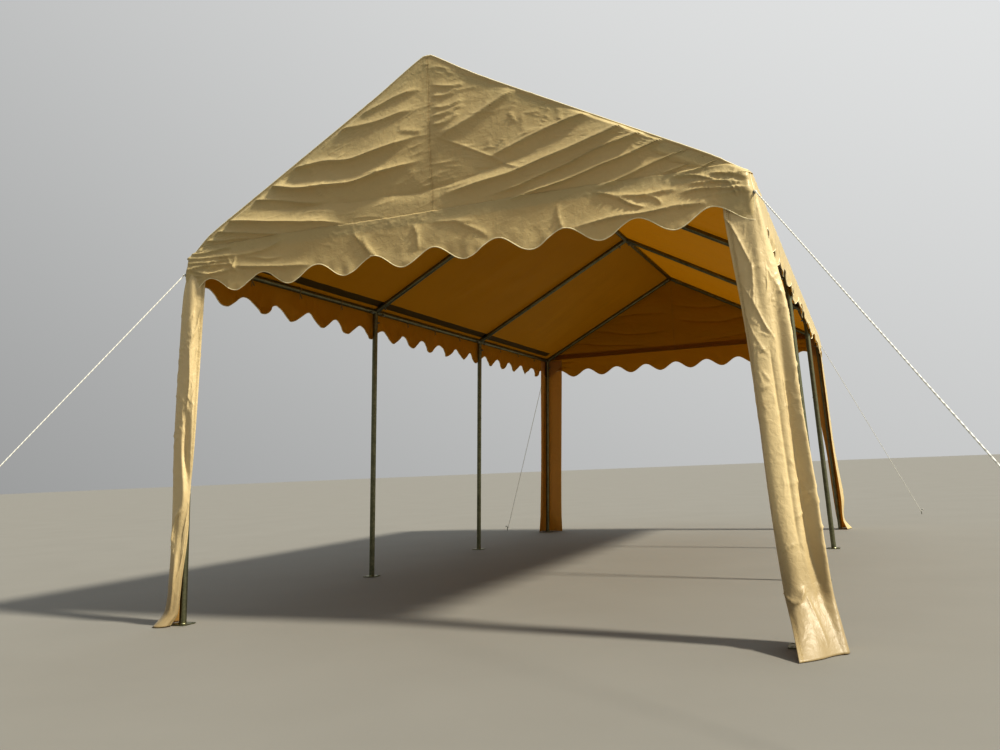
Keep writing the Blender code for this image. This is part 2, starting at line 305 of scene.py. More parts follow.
# Posts
# Each post is two lengths of the same tube: the lower one's swaged neck plugs into the
# upper one and is held by a sprung button. The foot is welded to a plate with peg holes.
JOINT_HEIGHT = 1.20
JOINT_GROOVE = 0.0022
JOINT_GAP = 0.003
BUTTON_RADIUS = 0.0042
BUTTON_PROUD = 0.0025
BUTTON_DROP = 0.045
PLATE_THICKNESS = 0.005
PLATE_CORNER_RADIUS = 0.012
PEG_HOLE_RADIUS = 0.0065
PEG_HOLE_INSET = 0.016
WELD_WIDTH = 0.005


def block(width, depth, height):
    """A block that stands on the origin."""
    part = bmesh.new()
    bmesh.ops.create_cube(part, size=1)
    bmesh.ops.scale(part, verts=part.verts, vec=(width, depth, height))
    bmesh.ops.translate(part, verts=part.verts, vec=(0, 0, height / 2))
    return part


def foot_plate():
    """A square plate with round corners and a peg hole near each of them."""
    bm = block(plate_width, plate_width, PLATE_THICKNESS)
    upright = [e for e in bm.edges if abs(e.verts[0].co.z - e.verts[1].co.z) > 1e-4]
    bmesh.ops.bevel(bm, geom=upright, offset=PLATE_CORNER_RADIUS, segments=5, profile=0.5,
                    affect="EDGES", material=-1)
    drills = bmesh.new()
    reach = plate_width / 2 - PEG_HOLE_INSET
    for across in (-reach, reach):
        for along in (-reach, reach):
            turned(drills, [(0, PEG_HOLE_RADIUS), (4 * PLATE_THICKNESS, PEG_HOLE_RADIUS)],
                   (across, along, -PLATE_THICKNESS), (0, 0, 1), sides=20)
    things = []
    for name, shape in (("plate", bm), ("drills", drills)):
        things.append(in_scene(name, mesh_of(name, shape)))
    cut = things[0].modifiers.new("peg_holes", "BOOLEAN")
    cut.operation = "DIFFERENCE"
    cut.solver = "EXACT"
    cut.object = things[1]
    bpy.context.view_layer.update()
    evaluated = things[0].evaluated_get(bpy.context.evaluated_depsgraph_get())
    mesh = bpy.data.meshes.new_from_object(evaluated)
    for thing in things:
        bpy.data.objects.remove(thing, do_unlink=True)
    return mesh


plate_mesh = foot_plate()
joint = JOINT_HEIGHT * (eave_point("right", 0) - foot_point("right", 0)).length / eave_z
neck = tube_radius - JOINT_GROOVE
for number, place in enumerate(frame_places, 1):
    for side in SIDES:
        foot = foot_point(side, place)
        run = eave_point(side, place) - foot
        bm = bmesh.new()
        bm.from_mesh(plate_mesh)
        bmesh.ops.translate(bm, verts=bm.verts, vec=foot)
        turned(bm, [(PLATE_THICKNESS / 2, tube_radius + WELD_WIDTH),
                    (PLATE_THICKNESS + WELD_WIDTH * 0.4, tube_radius + WELD_WIDTH * 0.7),
                    (PLATE_THICKNESS + WELD_WIDTH, tube_radius),
                    (joint - BURR, tube_radius), (joint, tube_radius - BURR), (joint, neck),
                    (joint + JOINT_GAP, neck),
                    *tube_outline(joint + JOINT_GAP, run.length - SLEEVE_REACH + TUBE_IN_SLEEVE)],
               foot, run)
        turned(bm, [(0, BUTTON_RADIUS), (tube_radius + BUTTON_PROUD * 0.5, BUTTON_RADIUS),
                    (tube_radius + BUTTON_PROUD, BUTTON_RADIUS * 0.6)],
               foot + run.normalized() * (joint + BUTTON_DROP), (-SIDES[side], 0, 0),
               sides=12)
        node = f"post_{side}_{number}"
        set_up(f"{node}_steel", bm, tube_zinc, "galvanised_tube", node)


# Fittings
# A hub with a welded sleeve for each tube, galvanised after welding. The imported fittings
# have their true shape. On the inner side a hexagon bolt runs through a nut that is welded
# to each sleeve, and pinches the tube.
BOLT_HEAD_WIDTH = 0.013
BOLT_HEAD_THICKNESS = 0.0055
BOLT_RADIUS = 0.004
BOLT_PROUD = 0.006
NUT_WIDTH = 0.015
NUT_THICKNESS = 0.0065
NUT_SUNK = 0.0008
BOLT_PLACE = 0.085
INSIDE_HEIGHT = 0.8
COLLAR_WIDTH = 0.006
COLLAR_PROUD = 0.0012
COLLAR_LIP = 0.0004
SLEEVE_WALL_SHOWN = 0.001
sleeve_radius = tube_radius + SLEEVE_WALL_SHOWN

fitting_zinc = galvanised_steel("galvanised_fitting_zinc", "92927C", "5E5F4C", 0.48)
bolt_zinc = galvanised_steel("zinc_plated_bolt", "A9ABA4", "7E8079", 0.34)


def hexagon(bm, start, direction, width, thickness):
    """A hexagon head or nut with its corners turned off."""
    corner = width / math.sqrt(3)
    turned(bm, [(0, corner), (thickness * 0.8, corner), (thickness, corner * 0.86)], start,
           direction, sides=6)


def bolt(bm, centre, run):
    """The welded nut and the bolt of a sleeve, on the side that faces into the tent."""
    inside = Vector((-centre.x, 0, INSIDE_HEIGHT - centre.z))
    facing = (inside - inside.project(run)).normalized()
    seat = centre + run.normalized() * BOLT_PLACE + facing * (sleeve_radius - NUT_SUNK)
    length = NUT_THICKNESS + BOLT_PROUD
    hexagon(bm, seat, facing, NUT_WIDTH, NUT_THICKNESS)
    turned(bm, [(0, BOLT_RADIUS), (length, BOLT_RADIUS)], seat, facing, sides=12)
    hexagon(bm, seat + facing * length, facing, BOLT_HEAD_WIDTH, BOLT_HEAD_THICKNESS)


def collar(bm, centre, run):
    """The rolled mouth of a sleeve."""
    back, outer = SLEEVE_REACH - COLLAR_WIDTH, sleeve_radius + COLLAR_PROUD
    turned(bm, [(back, sleeve_radius), (back + COLLAR_WIDTH * 0.3, outer),
                (back + COLLAR_WIDTH * 0.7, outer), (SLEEVE_REACH + COLLAR_LIP, sleeve_radius)],
           centre, run)


def finish_packed(node, material):
    """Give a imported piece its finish, and leave its shape alone."""
    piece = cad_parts[node]
    piece.data.materials.clear()
    piece.data.materials.append(material)


def dress_fitting(node, centre, neighbours):
    """Give a packed fitting its finish, its collars and its bolts."""
    finish_packed(node, fitting_zinc)
    bolts, collars = bmesh.new(), bmesh.new()
    for neighbour in neighbours:
        bolt(bolts, centre, neighbour - centre)
        collar(collars, centre, neighbour - centre)
    set_up(f"{node}_bolts", bolts, bolt_zinc, "galvanised_fitting")
    set_up(f"{node}_collars", collars, fitting_zinc, "galvanised_fitting")


for number, place in enumerate(frame_places):
    next_places = [frame_places[n] for n in (number - 1, number + 1)
                   if 0 <= n < len(frame_places)]
    ridge = ridge_point(place)
    dress_fitting(f"ridge_fitting_{number + 1}", ridge,
                  [eave_point(side, place) for side in SIDES]
                  + [ridge_point(near) for near in next_places])
    for side in SIDES:
        dress_fitting(f"eave_fitting_{side}_{number + 1}", eave_point(side, place),
                      [foot_point(side, place), ridge]
                      + [eave_point(side, near) for near in next_places])


# Cloth
# The whole cover is woven polyester with a thin coating, beige and satin outside. Light
# from behind glows through it in amber. Seams are double cloth, edges bound with tape.
# The roof's, gables' and valances' inner faces are darker amber copies of the cloth:
# painted shade.
CLOTH_THICKNESS = 0.0018
THREAD_MM = 2.5
CRINKLE_MM = 30
CREASE_MM = 110
SEAM_GROOVE = 0.0022
STITCH_ROW = 0.007
STITCH_MM = 9
STITCH_SPACE = 0.4
BINDING_RADIUS = 0.0030
# The seam colour tints the stitches, which are thread, and also paints shade into the groove between
# them.
STITCH_AND_PAINTED_GROOVE_SHADE = "B5A173"
# The foot colour, with its height and blotches, paints shade on the cloth, darker towards the ground.
FOOT_PAINTED_SHADE = "98896A"
DUST_SHADE = "8F8058"
PAINTED_SHADE_HEIGHT = 0.80
PAINTED_SHADE_BLOTCHES = 0.3
STREAKS_PER_METRE = (0.8, 4.0, 1.0)
LEG_COVER_WIDTH = 0.33
LEG_HEM = 0.022


def coated_polyester(name, beige, shadow_beige, glow, glow_share, roughness, crinkle,
                     seam=None, painted_foot_shade=0, dusty=0):
    """Woven polyester, coated: satin on every crinkle, and light passes through it.

    The threads are half a millimetre apart on the real cloth, and are drawn coarser here
    so that they show. seam is a middle line up the flat cut, and how far from it on both
    sides a seam runs: a groove between two rows of stitches. The stitches are thread
    colour, and the groove is darkened with painted shade. The foot share darkens the cloth
    towards the ground by up to this share, which is painted shade. Rain has drawn the dust
    on a roof into streaks, which darken it by up to this share.
    """
    material, add, place = new_material(name)
    cut = place["UV"]
    cloudy = add("TexNoise", {"Vector": cut, "Scale": 2.2, "Detail": 4.0})
    colour = add("Mix", {"Factor": cloudy, "A": linear(shadow_beige), "B": linear(beige)},
                 data_type="RGBA")
    stains_and_painted_shade = []
    threads = {"Vector": cut, "Scale": math.pi / (10 * THREAD_MM / 1000)}
    warp = add("TexWave", threads, bands_direction="X")
    weft = add("TexWave", threads, bands_direction="Y")
    weave = add("Math", {0: warp.outputs["Fac"], 1: weft.outputs["Fac"]}, operation="MULTIPLY")
    creases = add("TexNoise", {"Vector": cut, "Scale": 1000 / CREASE_MM, "Detail": 7.0,
                               "Roughness": 0.62, "Distortion": 0.8},
                  noise_type="RIDGED_MULTIFRACTAL")
    crinkles = add("TexNoise", {"Vector": cut, "Scale": 1000 / CRINKLE_MM, "Detail": 4.0,
                                "Roughness": 0.62, "Distortion": 0.5})
    bump = add("Bump", {"Height": weave, "Strength": 0.25, "Distance": 0.0003})
    for pattern, depth in ((crinkles, 0.006), (creases, 0.005)):
        bump = add("Bump", {"Height": pattern, "Strength": crinkle, "Distance": depth,
                            "Normal": bump})
    if dusty:
        drawn = add("Mapping", {"Vector": cut, "Scale": STREAKS_PER_METRE})
        streaks = add("TexNoise", {"Vector": drawn, "Scale": 1.0, "Detail": 5.0,
                                   "Distortion": 0.6})
        dust = add("MapRange", {"Value": streaks, "From Min": 0.32, "From Max": 0.72,
                                "To Min": 0.25 * dusty, "To Max": dusty})
        stains_and_painted_shade.append((dust, DUST_SHADE))
    # Painted shade: the cloth is darkened towards its foot, in blotches.
    if painted_foot_shade:
        height = add("SeparateXYZ", {"Vector": place["Object"]})
        blotchy = add("Math", {0: cloudy, 1: PAINTED_SHADE_BLOTCHES}, operation="MULTIPLY")
        low = add("MapRange", {"Value": height.outputs["Z"], "From Max": PAINTED_SHADE_HEIGHT,
                               "To Min": 1.0, "To Max": 0.0})
        foot_painted_shade_mask = add("MapRange", {"Value": low, "From Min": blotchy, "To Max": painted_foot_shade},
                   interpolation_type="SMOOTHSTEP")
        stains_and_painted_shade.append((foot_painted_shade_mask, FOOT_PAINTED_SHADE))
    if seam:
        parts = add("SeparateXYZ", {"Vector": cut})
        aside, stitch = parts.outputs["X"], parts.outputs["Y"]
        for distance in seam:
            aside = add("Math", {0: aside, 1: distance}, operation="SUBTRACT")
            aside = add("Math", {0: aside}, operation="ABSOLUTE")
        for operation, value in (("MULTIPLY", 1000 / STITCH_MM), ("FRACT", 0),
                                 ("GREATER_THAN", STITCH_SPACE)):
            stitch = add("Math", {0: stitch, 1: value}, operation=operation)
        # The groove between the stitch rows is darkened in colour: painted shade. The stitches keep their
        # thread's colour.
        groove = add("MapRange", {"Value": aside, "From Min": SEAM_GROOVE / 3,
                                  "From Max": SEAM_GROOVE, "To Min": 1.0, "To Max": 0.0})
        row = add("Math", {0: aside, 1: STITCH_ROW, 2: STITCH_ROW / 5}, operation="COMPARE")
        stitches = add("Math", {0: row, 1: stitch}, operation="MULTIPLY")
        sewn = add("Math", {0: stitches, 1: groove}, operation="MAXIMUM")
        stains_and_painted_shade.append((sewn, STITCH_AND_PAINTED_GROOVE_SHADE))
        bump = add("Bump", {"Height": sewn, "Strength": 0.6, "Distance": 0.002,
                            "Normal": bump}, invert=True)
    # Dust streaks are stains; the darkening at the foot and in the seam's groove is painted shade.
    for share, shade in stains_and_painted_shade:
        colour = add("Mix", {"Factor": share, "A": colour, "B": linear(shade)},
                     data_type="RGBA")
    shader = add("BsdfPrincipled", {"Base Color": colour, "Roughness": roughness,
                                    "Sheen Weight": 0.08, "Sheen Roughness": 0.4,
                                    "Normal": bump})
    lit = add("BsdfTranslucent", {"Color": linear(glow), "Normal": bump})
    both = add("MixShader", {"Fac": glow_share, 1: shader, 2: lit})
    add("OutputMaterial", {"Surface": both})
    return material


OUTSIDE_LOOK = ("DFD0A3", "D1C092", "FFEFC0", 0.25, 0.42, 0.50)
# The inside look is a darker amber copy of the same beige cloth: painted shade for the dim light inside
# the tent.
INSIDE_PAINTED_SHADE_LOOK = ("B29034", "A08228", "CE9E02", 0.66, 0.50, 0.22)
cloth_outside = coated_polyester("coated_polyester_outside", *OUTSIDE_LOOK)
dusty_outside = coated_polyester("dusty_polyester_outside", "C8B88C", "BAA97C", "FFEFC0",
                                 0.25, 0.46, 0.50, dusty=0.32)
painted_shade_inside = coated_polyester("coated_polyester_inside", *INSIDE_PAINTED_SHADE_LOOK)
seamed_outside = coated_polyester("seamed_polyester_outside", *OUTSIDE_LOOK, seam=(0, 0))
seamed_painted_shade_inside = coated_polyester("seamed_polyester_inside", *INSIDE_PAINTED_SHADE_LOOK, seam=(0, 0))
# The valances' insides are a greener, darker copy of the cloth: painted shade.
valance_painted_shade_inside = coated_polyester("valance_polyester_inside", "BC9C42", "AA8C34", "E0B00A",
                                  0.70, 0.50, 0.25)
# The front leg covers' outside, darkened towards the foot with painted shade.
hemmed_outside = coated_polyester("hemmed_polyester_outside", "E0CFA6", "D3C197", "FFEFC0",
                                  0.10, 0.42, 0.50, painted_foot_shade=0.92,
                                  seam=(LEG_COVER_WIDTH / 2, LEG_COVER_WIDTH / 2 - LEG_HEM))
daylit_inside = coated_polyester("coated_polyester_inside_by_day", "E0C88C", "D2B87C",
                                 "E4AC38", 0.55, 0.50, 0.30)
binding_tape = coated_polyester("polyester_binding_tape", "F6ECCB", "EEE2BC", "FFE8B0",
                                0.10, 0.40, 0.10)
# The strap's dark colour is painted shade, for the light that double cloth holds back.
webbing_with_painted_shade = coated_polyester("double_strap_painted_shade", "78642A", "6A561E", "8A6C0C",
                                 0.40, 0.60, 0.10)


def bind_edge(name, points):
    """Tape folded over a cut edge: a soft cord of cloth along these points."""
    curve = bpy.data.curves.new(name, "CURVE")
    curve.dimensions = "3D"
    curve.bevel_depth = BINDING_RADIUS
    curve.bevel_resolution = 1
    curve.use_fill_caps = True
    spline = curve.splines.new("POLY")
    spline.points.add(len(points) - 1)
    spline.points.foreach_set("co", np.column_stack([points, np.ones(len(points))])
                              .astype(np.float32).ravel())
    curve.materials.append(binding_tape)
    return new_piece(name, curve)


def hang_cloth(name, grid, place, stands_for=(), bound=None,
               outside=cloth_outside, inside=painted_shade_inside):
    """A sheet of cloth on a grid of columns and rows. place turns shares across and up,
    each from 0 to 1, into points in the tent and points on the flat cut. For a lower edge
    that is bound with tape, bound gives its number of points and which way is outwards."""
    bm = bmesh.new()
    bmesh.ops.create_grid(bm, x_segments=grid[0], y_segments=grid[1], size=0.5)
    mesh = mesh_of(name, bm)
    shares = np.empty(len(mesh.vertices) * 3, np.float32)
    mesh.vertices.foreach_get("co", shares)
    shares = shares.reshape(-1, 3).astype(float) + 0.5
    points, cut = place(shares[:, 0], shares[:, 1])
    mesh.vertices.foreach_set("co", points.astype(np.float32).ravel())
    corner_of = np.empty(len(mesh.loops), np.int32)
    mesh.loops.foreach_get("vertex_index", corner_of)
    uv = mesh.uv_layers.new(name="cut")
    uv.data.foreach_set("uv", cut[corner_of].astype(np.float32).ravel())
    mesh.shade_smooth()
    mesh.materials.append(outside)
    mesh.materials.append(inside)
    piece = new_piece(name, mesh)
    wall = piece.modifiers.new("cloth", "SOLIDIFY")
    wall.thickness = CLOTH_THICKNESS
    wall.offset = -1
    wall.material_offset = 1
    wall.material_offset_rim = 0
    if bound:
        edge, _ = place(np.linspace(0, 1, bound[0]), np.zeros(bound[0]))
        bind_edge(name.replace("cloth", "binding"),
                               edge - np.array(bound[1]) * CLOTH_THICKNESS / 2)
    if stands_for:
        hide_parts(*stands_for)
    return piece


def smoothstep(share):
    share = np.clip(share, 0, 1)
    return share * share * (3 - 2 * share)


def ripple(across, up, wavelength, seed, stretch=1.0, spread=math.pi):
    """Random smooth waves of about this length, stretched along the first direction. With
    a small spread they all run across, so that their crests stand upright."""
    draw = np.random.default_rng(seed)
    waves = 14
    total = np.zeros_like(across)
    for _ in range(waves):
        angle = draw.uniform(-spread, spread)
        pace = 2 * math.pi / (wavelength * draw.uniform(0.7, 1.4))
        total += np.sin(pace * (across * math.cos(angle) / stretch + up * math.sin(angle))
                        + draw.uniform(0, 2 * math.pi))
    return total / math.sqrt(waves)


def creased(across, up, wavelength, seed, stretch=1.0, spread=math.pi):
    """A net of sharp creases: 1 on a crease, and 0 in the open cloth between them. They
    run where a ripple crosses zero, and come and go in patches over the cloth."""
    net = np.clip(1 - 2.4 * np.abs(ripple(across, up, wavelength, seed, stretch, spread)), 0, 1)
    patchy = smoothstep(0.45 + 0.7 * ripple(across, up, 2.5 * wavelength, seed + 500, stretch))
    return net ** 1.4 * patchy


def through(knots, values, at):
    """A smooth curve through values at rising knots, read at these places."""
    slopes = np.empty_like(values)
    gaps = (knots[2:] - knots[:-2]).reshape(-1, *[1] * (values.ndim - 1))
    slopes[1:-1] = (values[2:] - values[:-2]) / gaps
    slopes[0] = (values[1] - values[0]) / (knots[1] - knots[0])
    slopes[-1] = (values[-1] - values[-2]) / (knots[-1] - knots[-2])
    first = np.clip(np.searchsorted(knots, at, side="right") - 1, 0, len(knots) - 2)
    gap = knots[first + 1] - knots[first]
    shape = (-1, *[1] * (values.ndim - 1))
    t, gap = ((at - knots[first]) / gap).reshape(shape), gap.reshape(shape)
    return ((2 * t ** 3 - 3 * t ** 2 + 1) * values[first]
            + (t ** 3 - 2 * t ** 2 + t) * gap * slopes[first]
            + (3 * t ** 2 - 2 * t ** 3) * values[first + 1]
            + (t ** 3 - t ** 2) * gap * slopes[first + 1])


def crest(across, up, points, height, above, below, sharpness=1.05, fade=0.22):
    """One fold. It rises to a crest along the points, drawn from left to right, and falls
    away over these widths above and below it, in a round foot with a sharp edge on top.
    It dies out over a share of each end."""
    foot_share, edge_width = 0.62, 0.22
    line = through(np.arange(len(points)), points, np.linspace(0, len(points) - 1,
                                                               6 * len(points)))
    reach = 3 * max(above, below)
    near = ((across > line[:, 0].min() - reach) & (across < line[:, 0].max() + reach)
            & (up > line[:, 1].min() - reach) & (up < line[:, 1].max() + reach))
    result = np.zeros_like(across)
    if not near.any():
        return result
    start, run = line[:-1], np.diff(line, axis=0)
    length = np.hypot(run[:, 0], run[:, 1])
    behind = np.concatenate([[0], np.cumsum(length)])
    off_x = across[near][:, None] - start[:, 0]
    off_z = up[near][:, None] - start[:, 1]
    share = np.clip((off_x * run[:, 0] + off_z * run[:, 1]) / length ** 2, 0, 1)
    gap = np.hypot(off_x - share * run[:, 0], off_z - share * run[:, 1])
    nearest = gap.argmin(axis=1)
    row = np.arange(len(nearest))
    side = run[nearest, 0] * off_z[row, nearest] - run[nearest, 1] * off_x[row, nearest]
    along = (behind[nearest] + share[row, nearest] * length[nearest]) / behind[-1]
    off = gap[row, nearest] / np.where(side > 0, above, below)
    ends = smoothstep(along / fade) * smoothstep((1 - along) / fade)
    result[near] = height * ends * (foot_share * np.exp(-off ** sharpness)
                                    + (1 - foot_share) * np.exp(-off / edge_width))
    return result


def folded(across, up, folds, above_share=1.0, below_share=1.0):
    """How far all the folds of a table stand out."""
    total = np.zeros_like(across)
    for points, height, above, below, *sharpness in folds:
        total += crest(across, up, np.array(points) / 1000, height / 1000,
                       above_share * (above / 1000), below_share * (below / 1000), *sharpness)
    return total


def scattered(across, up, centres, tilts, seed, lengths, heights, widths):
    """Short creases strewn over the cloth: one at each centre, at about this tilt, with
    its length, height and width drawn from these ranges."""
    draw = np.random.default_rng(seed)
    total = np.zeros_like(across)
    for (middle, level), tilt in zip(centres, tilts):
        reach = draw.uniform(*lengths) / 2
        bow = draw.uniform(-0.15, 0.15) * reach
        run, rise = reach * math.cos(tilt), reach * math.sin(tilt)
        line = np.array([(middle - run, level - rise),
                         (middle - bow * math.sin(tilt), level + bow * math.cos(tilt)),
                         (middle + run, level + rise)])
        width = draw.uniform(*widths)
        total += crest(across, up, line, draw.uniform(*heights), width, 0.7 * width, fade=0.35)
    return total


# Roof
# One sheet of cloth lies over the ridge, the rafters and the eaves, drawn tight to the
# sleeves of the fittings. Between the tubes it sags a little. Its edges turn down over the
# end rafters and the eaves, where the gables and the valances are sewn to it.
ROOF_TURN = 0.0260
ROOF_SAG = 0.016
ROOF_OVERHANG = 0.0285
ROOF_EDGE_TURN = math.radians(26)
LOOSE_AT_RIDGE = 0.014
LOOSE_ON_RAFTERS = 0.012
LOOSER_ON_LEFT = 0.005
LOOSE_LENGTH = 0.45
ROOF_RIPPLES = 0.0040
ROOF_FINE_RIPPLES = 0.0022
ROOF_CREASES = 0.0040
ROOF_PUCKERS = 0.0022
PUCKER_REACH = 0.06
ROOF_GRID = (150, 190)
EAVE_BAND_GRID = (6, 190)
EAVE_BAND_WIDTH = 0.060
EAVE_BAND_START = 0.040
BAND_GAP = 0.0004
PIPING_STEPS = 160

ridge_arc = ROOF_TURN * slope
eave_arc = ROOF_TURN * (math.pi / 2 - slope)
roof_reach = ridge_arc + slope_length + eave_arc


def front_looseness(down, x):
    """How much further the cover stands off the front rafters, at this share of the way
    down them: most over the ridge fitting, more on the left, and nothing at the eaves."""
    bulge = LOOSE_AT_RIDGE * np.exp(-(down * slope_length / 0.20) ** 2)
    sides = LOOSE_ON_RAFTERS - LOOSER_ON_LEFT * np.tanh(x / 0.15)
    return (bulge + sides) * smoothstep((1 - down) / 0.14)


def squareness(down):
    """1 where the roof's end runs straight out to the gable's seam, and 0 at the eaves,
    where both are drawn round the corner posts."""
    return smoothstep((1 - down) / 0.10)


def on_roof(across, along, lift):
    """Where the point of the flat roof at these distances from the ridge and from the
    middle of the tent lies, lifted off the tubes by this much more."""
    far = np.abs(across)
    down = np.clip(far - ridge_arc, 0, slope_length) / slope_length
    angle = np.where(far < ridge_arc, far / ROOF_TURN,
                     slope + np.clip(far - ridge_arc - slope_length, 0, None) / ROOF_TURN)
    past_end = np.clip(np.abs(along) - half_length, 0, None)
    tip = past_end / ROOF_OVERHANG * ROOF_EDGE_TURN
    square = squareness(down)
    bay_share = np.clip((along + half_length) / bay_length, 0, 2.999999) % 1
    hollow = (np.sin(math.pi * down) ** 0.8) * (np.sin(math.pi * bay_share) ** 0.8)
    sag = ROOF_SAG * hollow * (0.85 + 0.25 * ripple(across, along, 1.1, 5))
    wrinkle = hollow * (ROOF_RIPPLES * ripple(across, along, 0.42, 6, stretch=2.5)
                        + ROOF_FINE_RIPPLES * ripple(across, along, 0.16, 7, stretch=3.0)
                        + ROOF_CREASES * creased(across, along, 0.20, 9, stretch=3.5))
    near_end = np.exp(-((np.abs(along) - half_length) / PUCKER_REACH) ** 2)
    puckered = ROOF_PUCKERS * near_end * creased(across, along, 0.06, 8)
    loose = front_looseness(down, across) * np.exp(
        -(np.clip(along + half_length, 0, None) / LOOSE_LENGTH) ** 2)
    reach = ROOF_TURN + lift - sag + wrinkle + puckered + loose
    out = square * past_end + (1 - square) * reach * np.sin(tip)
    reach = reach * (square + (1 - square) * np.cos(tip))
    x = np.sign(across) * (down * eave_x + reach * np.sin(angle))
    z = ridge_z - down * (ridge_z - eave_z) + reach * np.cos(angle)
    y = np.clip(along, -half_length, half_length) + np.sign(along) * out
    return np.column_stack([x, y, z])


def roof_place(u, v):
    across = roof_reach * (2 * u - 1)
    along = (half_length + ROOF_OVERHANG) * (2 * v - 1)
    return on_roof(across, along, 0), np.column_stack([across, along])


roof = hang_cloth("roof_cover", ROOF_GRID, roof_place,
                  stands_for=("roof_panel_left", "roof_panel_right"), outside=dusty_outside)

# The double strap inside each eave, which the ties are sewn to. Its dark colour is painted shade, for the
# light that the double cloth holds back.
for side, outward in SIDES.items():
    def band_place(u, v):
        band_start = ridge_arc + slope_length - EAVE_BAND_START - EAVE_BAND_WIDTH
        across = outward * (band_start + EAVE_BAND_WIDTH * (u if outward > 0 else 1 - u))
        along = (half_length - SLEEVE_REACH) * (2 * v - 1)
        under = -CLOTH_THICKNESS - BAND_GAP
        return on_roof(across, along, under), np.column_stack([across, along])

    hang_cloth(f"eave_band_{side}", EAVE_BAND_GRID, band_place,
               outside=webbing_with_painted_shade, inside=webbing_with_painted_shade)

# Piping of the seams, along both rafters of each end
for end, facing in ENDS.items():
    across = roof_reach * np.linspace(-0.985, 0.985, PIPING_STEPS)
    along = np.full(PIPING_STEPS, facing * (half_length + ROOF_OVERHANG))
    bind_edge(f"roof_piping_{end}", on_roof(across, along, -CLOTH_THICKNESS / 2))


# Ties
# Cotton tape is sewn to the strap and tied round each eave tube, with two short ends. It
# was off-white once, and is stained now.
TIE_WIDTH = 0.012
TIE_THICKNESS = 0.0014
TIE_CLEARANCE = 0.0004
TIE_TAILS = (0.045, 0.036)
TIE_SPLAY = 0.35
TIE_SHARES = (0.25, 0.5, 0.75)
TIE_KNOT_RADIUS = 0.0055
TIE_KNOT_DROP = 0.003
RIB_MM = 2

# Woven cotton tape: matt and a little fluffy, with cross ribs
tie_cotton, add, place = new_material("stained_cotton_tape")
ribs = add("TexWave", {"Vector": place["Object"], "Scale": math.pi / (10 * RIB_MM / 1000)},
           bands_direction="Z")
bump = add("Bump", {"Height": ribs.outputs["Fac"], "Strength": 0.4, "Distance": 0.0004})
shader = add("BsdfPrincipled", {"Base Color": linear("8C7A50"), "Roughness": 0.8,
                                "Sheen Weight": 0.2, "Normal": bump})
add("OutputMaterial", {"Surface": shader})


def tie(bm, centre, outward):
    """A loop of tape round the eave tube here, its knot below and its two ends."""
    inner = tube_radius + TIE_CLEARANCE
    outer = inner + TIE_THICKNESS
    turned(bm, [(0, inner), (0, outer), (TIE_WIDTH, outer), (TIE_WIDTH, inner)],
           centre - Vector((0, TIE_WIDTH / 2, 0)), (0, 1, 0), ring=True)
    knot = centre + Vector((-outward * 0.4, 0, -0.92)) * (outer + TIE_KNOT_DROP)
    bmesh.ops.create_icosphere(bm, subdivisions=2, radius=TIE_KNOT_RADIUS,
                               matrix=Matrix.Translation(knot))
    for way, tail in zip((-1, 1), TIE_TAILS):
        hang = Vector((-outward * 0.15, way * TIE_SPLAY, -1)).normalized()
        add_shape(bm, block(TIE_THICKNESS, TIE_WIDTH * 0.8, tail), knot, hang)


for side, outward in SIDES.items():
    bm = bmesh.new()
    for place in frame_places[:-1]:
        for share in TIE_SHARES:
            tie(bm, eave_point(side, place + share * bay_length), outward)
    set_up(f"eave_ties_{side}", bm, tie_cotton, "roof_cloth")


# Gables
# Each end is closed by a triangle of the same cloth, two halves sewn on the middle line.
# It is drawn over the end rafters by the roof's seam and hangs in slack folds between
# them. The scalloped end valance is sewn on with a puckered seam of double cloth.
GABLE_GRID = {"front": (290, 162), "back": (200, 80)}
END_VALANCE_GRID = {"front": (400, 36), "back": (280, 26)}
GABLE_TURN_FRONT = 0.0290
GABLE_TURN_TOP = 0.0236
GABLE_TURN_SIDE = 0.0264
VALANCE_DROP = 0.205
SCALLOP_PITCH = 0.34
SCALLOP_DEPTH = 0.080
SEAM_TOP = 0.060
SEAM_LIFT = 0.0022
CORNER_WRAP = math.radians(46)
GUY_DROP = 0.085
GUY_PULL = 0.012
SLACK = 2.3
WIDER_ABOVE = 1.15
STEEPER_BELOW = 0.62
CUT_TALLER = {"front": 1.10, "back": 1.02}
STREWN_CREASES = 150
STREWN_LENGTHS = (0.05, 0.28)
STREWN_HEIGHTS = (0.0012, 0.0040)
STREWN_WIDTHS = (0.005, 0.010)
GABLE_RIPPLES = 0.0080
GABLE_CREASES = 0.0016
EDGE_CREASES = 0.0045
EDGE_REACH = 0.09
SEAM_PUCKERS = 0.0034
SEAM_FINE_PUCKERS = 0.0016
CRUMPLED_RADIUS = 0.085
CORNER_CREASES = 0.0100
CORNER_FINE_CREASES = 0.0060
TONGUE_FLUTTER = 0.0040
TONGUE_RIPPLES = 0.0025
HELD_ABOVE_RAFTER = 0.032
DEEPEST_HOLLOW = 0.05
DEEPEST_AT_RAFTER = 0.004
valance_bottom = eave_z - VALANCE_DROP

